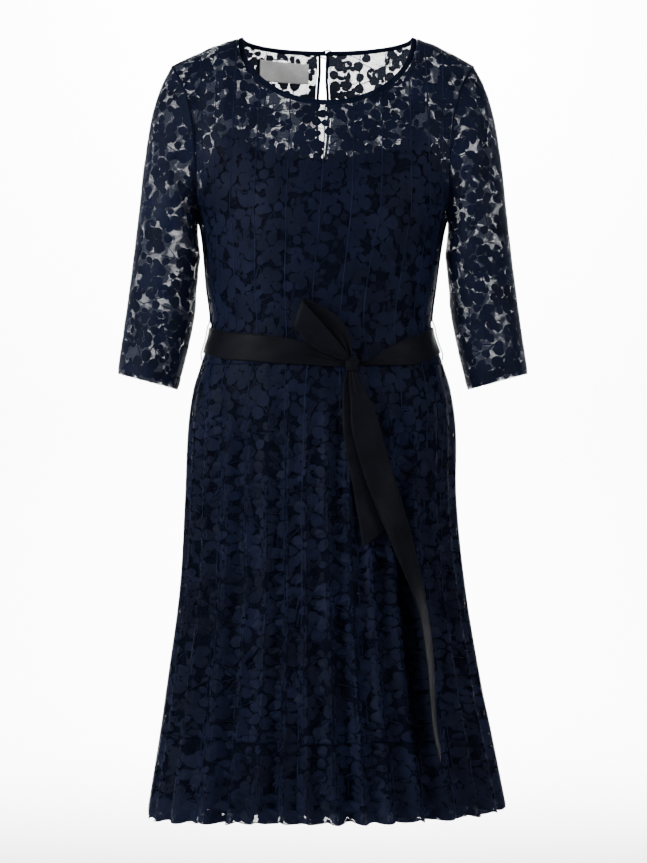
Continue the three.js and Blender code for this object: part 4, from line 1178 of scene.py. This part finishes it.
# the ribbon: a belt round the waist, a knot, one loop and two ends
beltStations = [  # turn from the front in degrees, top and bottom in millimetres
    (14.3, -410, -414), (22, -406, -413), (33, -391, -413), (46, -379, -412), (62, -371, -404),
    (90, -361, -394), (180, -360, -393), (270, -361, -394), (312, -370, -405), (338, -376, -410),
    (352, -384, -412), (365, -402, -414), (372.4, -410, -415),
]
longEnd = [  # x, height, width and lift in millimetres, twist in degrees
    (36.5, -423, 10, 9, 0), (40, -438, 16, 8, 14), (47, -464, 27, 8, 10), (53, -492, 36, 7, 4),
    (67, -544, 38, 7, 0), (80, -585, 38, 7, -8), (100, -646, 38, 8, -22), (119, -721, 38, 14, -38),
    (127, -789, 38, 17, -44), (132, -871, 38, 18, -50), (141, -915, 26, 16, -50),
]
shortEnd = [
    (35, -420, 10, 1.4, 0), (37, -446, 24, 0.9, 0), (45, -500, 38, 0.9, 0), (57, -570, 38, 0.9, 0),
    (69, -640, 38, 0.9, 0),
]
loopStations = [  # x, height, how far in front, width in millimetres and lean in degrees
    (31.2, -404, 109.6, 8, 42), (22, -398, 113, 15, 42), (8, -388, 117, 24, 42), (-8, -374, 121, 30, 42),
    (-22, -359, 123, 32, 36), (-30, -348, 121, 32, 24), (-30, -343, 116, 32, 16), (-20, -345, 112, 31, 12),
    (-2, -354, 109, 30, 14), (16, -366, 107, 28, 24), (28, -382, 105, 18, 44), (34.5, -402, 106, 7, 80),
]
ribbon = {"thick": 0.8 * mm, "beltOut": 3.1 * mm}


def ribbonPiece(name, points, normals):
    piece = shell(name + "_satin", points, normals, ribbon["thick"], flatPlaces(points))
    sheets[name] = (wear(piece, ribbonCloth, "ribbon_satin", name), [])


def beltBand():
    stations = np.array(beltStations)
    turn = np.linspace(stations[0, 0], stations[-1, 0], 300)[:, None]
    s = np.linspace(-1, 1, 15)[None, :]
    top, bottom = (curveThrough(stations[:, 0], stations[:, k] * mm, turn) for k in (1, 2))
    z = (top + bottom) / 2 + (top - bottom) / 2 * s
    turn = np.broadcast_to(turn, z.shape)
    wrapped = (turn + 180) % 360 - 180
    isFront = np.abs(wrapped) <= 90
    front = onBody(frontSide, np.clip(wrapped / 90, -1, 1), z)
    back = onBody(backSide, np.clip(np.sign(wrapped) * (2 - np.abs(wrapped) / 90), -1, 1), z)
    points, normals = (np.where(isFront[..., None], a, b) for a, b in zip(front, back))
    away = np.minimum(turn - stations[0, 0], stations[-1, 0] - turn)  # degrees from the knot
    gathers = 0.9 * np.exp(-away / 26) * np.cos(9 * s + away / 9)
    ease = 0.35 * np.sin(np.radians(turn) * 7 + 2.2 * s) + 0.25 * np.sin(np.radians(turn) * 17 - 3 * s)
    lift = ribbon["beltOut"] + (gathers + ease * (1 - s ** 4)) * mm
    ribbonPiece("belt_band", points + normals * lift[..., None], normals)


# one of the two ends: its slanting cut is a share of the last stretch between stations
def ribbonEnd(name, stations, seed, slant, count):
    rows = np.array(stations, float)
    s = np.linspace(-1, 1, 13)[None, :]
    last = len(rows) - 1
    at = np.linspace(0, 1, count)[:, None] * (last - slant * (1 + s) / 2)
    x, z, width, lift, twist = (curveThrough(np.arange(last + 1), rows[:, k], at) for k in range(5))
    z = z * mm
    across = np.arcsin(np.clip((x * mm - section(4, z)) / section(1, z), -1, 1)) * 2 / math.pi
    point, facing = onBody(frontSide, across, z)
    middle = point + facing * (lift * mm)[..., None]
    along = unit(np.gradient(middle, axis=0))
    side = unit(np.cross(facing, along))
    angle = np.radians(twist)[..., None]
    side = side * np.cos(angle) + np.cross(along, side) * np.sin(angle)
    away = np.cross(along, side)
    draw = np.random.RandomState(seed)
    run = at / last
    fold = sum(draw.uniform(0.25, 0.7)
               * np.sin(2 * math.pi * (draw.uniform(2, 7) * run + draw.uniform(-0.4, 0.4) * s)
                        + draw.uniform(0, 6.28)) for _ in range(4))
    pleat = np.exp(-run * 9) * 1.6 * np.cos(8 * s)  # drawn together under the knot
    camber = (1 - s * s) * 1.1
    crease = 0.5 + (fold * 0.45 + camber) * np.clip(width / 30, 0.2, 1) + pleat * 0.5
    grid = middle + side * (width * mm / 2 * s)[..., None] + away * (crease * mm)[..., None]
    ribbonPiece(name, grid, away)


def bowLoop():
    rows = np.array(loopStations, float)
    at = np.linspace(0, len(rows) - 1, 110)
    x, z, front, width, lean = (curveThrough(np.arange(len(rows)), rows[:, k], at) for k in range(5))
    s = np.linspace(-1, 1, 15)[None, :]
    centre = np.stack([x, -front, z], -1) * mm
    widthWay = np.stack([np.sin(np.radians(lean)), 0 * lean, np.cos(np.radians(lean))], -1)
    along = unit(np.gradient(centre, axis=0))
    away = unit(np.cross(widthWay, along))
    knotShare = np.exp(-np.minimum(at, len(rows) - 1 - at) / 1.6)[:, None]
    fold = knotShare * 1.1 * np.cos(7 * s) + 0.5 * (1 - s * s) + 0.35 * np.sin(at[:, None] * 1.3 + 2 * s)
    grid = (centre[:, None] + widthWay[:, None] * (width[:, None] * mm / 2 * s)[..., None]
            + away[:, None] * (fold * mm)[..., None])
    ribbonPiece("bow_loop", grid, np.broadcast_to(away[:, None], grid.shape))


knot = {"x": 36 * mm, "z": -413 * mm, "lift": 9.3 * mm, "half": (9, 6, 9.5), "folds": 3.4}


def bowKnot():  # a small wrapped lump with folds slanting over it
    middle, half = (float(section(number, knot["z"])) for number in (4, 1))
    across = math.asin((knot["x"] - middle) / half) * 2 / math.pi
    point, facing = onBody(frontSide, across, knot["z"])
    turn = np.linspace(0, 2 * math.pi, 56, endpoint=False)[None, :]
    rise = np.linspace(-math.pi / 2, math.pi / 2, 34)[:, None]
    power = 0.82
    x = np.sign(np.cos(turn)) * np.abs(np.cos(turn)) ** power * np.cos(rise) ** power
    y = np.sign(np.sin(turn)) * np.abs(np.sin(turn)) ** power * np.cos(rise) ** power
    z = np.broadcast_to(np.sin(rise), x.shape)
    fold = 1 + 0.085 * np.cos(knot["folds"] * 2 * (z * 0.75 + x * 0.55) + 0.6) * np.cos(rise)
    half = np.array(knot["half"]) * mm
    points = np.stack([x * half[0] * fold, y * half[1] * fold, z * half[2] * (1 + 0.06 * x)], -1)
    points = points + (point + facing * knot["lift"])
    points[0], points[-1] = points[0].mean(0), points[-1].mean(0)
    made = addMesh("bow_knot_satin", points, gridFaces(34, 56, True), flatPlaces(points))
    cleanMesh(made)
    return wear(made, ribbonCloth, "ribbon_satin", "bow_knot")


beltBand()
sheets["belt_band"][1].append(bowKnot())
ribbonEnd("ribbon_end_long", longEnd, 41, 0.55, 190)
ribbonEnd("ribbon_end_short", shortEnd, 42, 0.25, 90)
bowLoop()
print("ribbon made")

# camera, light and backdrop
view = {"x": 0.001, "y": -3.4, "z": -0.497, "lens": 108.3, "sensor": 36}
eye = bpy.data.cameras.new("camera")
eye.lens, eye.sensor_width = view["lens"], view["sensor"]
camera = bpy.data.objects.new("camera", eye)
camera.location = (view["x"], view["y"], view["z"])
camera.rotation_euler = (math.pi / 2, 0, 0)
bpy.context.scene.collection.objects.link(camera)
bpy.context.scene.camera = camera

# place, aimed at, width, height, power and spread in degrees; the wall's lamp turns away from the dress
lamps = {
    "keyLamp": ((-2.8, -1.9, 0.8), (0, 0, -0.45), 1.4, 1.8, 150, 180),
    "fillLamp": ((2.6, -2.0, 0.6), (0, 0, -0.5), 1.4, 2.0, 58, 180),
    "topLamp": ((0, -0.4, 2.4), (0, 0, -0.4), 1.6, 1.2, 7, 180),
    "backLamp": ((0.4, 2.6, 1.2), (0, 0, -0.5), 2.6, 1.6, 12, 180),
    "wallLamp": ((0, 2.3, 1.9), (0, 4.6, -0.5), 2.4, 0.8, 1050, 142),
}
for name, (at, aim, wide, high, power, spread) in lamps.items():
    lamp = bpy.data.lights.new(name, "AREA")
    lamp.shape, lamp.size, lamp.size_y = "RECTANGLE", wide, high
    lamp.energy, lamp.spread = power, math.radians(spread)
    holder = bpy.data.objects.new(name, lamp)
    holder.location = at
    holder.rotation_euler = (Vector(aim) - Vector(at)).to_track_quat("-Z", "Y").to_euler()
    bpy.context.scene.collection.objects.link(holder)

room = {"colour": (0.93, 0.95, 1.0, 1), "strength": 0.15}
sky = bpy.data.worlds.new("paleRoom")
sky.use_nodes = True
sky.node_tree.nodes["Background"].inputs["Color"].default_value = room["colour"]
sky.node_tree.nodes["Background"].inputs["Strength"].default_value = room["strength"]
bpy.context.scene.world = sky

floor = {"z": -1.32, "half": 6.0, "wallY": 4.8, "bend": 0.9, "steps": 12, "height": 3.4,
         "shades": ((0.86, 0.865, 0.87), (0.9, 0.9, 0.9)), "rough": 0.9}


def backdrop():  # a pale floor that bends up into a wall
    bend, foot = floor["bend"], floor["wallY"] - floor["bend"]
    profile = [(-floor["half"], floor["z"]), (foot, floor["z"])]
    for k in range(1, floor["steps"] + 1):
        angle = k / floor["steps"] * math.pi / 2
        profile.append((foot + bend * math.sin(angle), floor["z"] + bend * (1 - math.cos(angle))))
    profile.append((floor["wallY"], floor["height"]))
    points = np.array([[(x, y, z) for x in (-floor["half"], floor["half"])] for y, z in profile])
    made = addMesh("backdrop", points, gridFaces(len(profile), 2, False))
    material, tree, shader = newMaterial("palePaper")
    where = flow(tree, "ShaderNodeTexCoord", None, "Object")
    noise = flow(tree, "ShaderNodeTexNoise", {"Vector": where, "Scale": 40.0}, "Fac")
    tree.links.new(mixedColour(tree, noise, *floor["shades"]), shader["Base Color"])
    shader["Roughness"].default_value = floor["rough"]
    made.data.materials.append(material)
    return made


backdrop()

# what is sewn on down each side goes with that side's skirt sheet
sheets["skirt_front"][1].extend(extras["front"])
sheets["skirt_back"][1].extend(extras["back"])

# the loose shapes that the lace was made from
bpy.data.objects.remove(edgePetal)
for shapes in (flowers, fills):
    for shape in list(shapes.objects):
        bpy.data.objects.remove(shape)

print("dress finished")
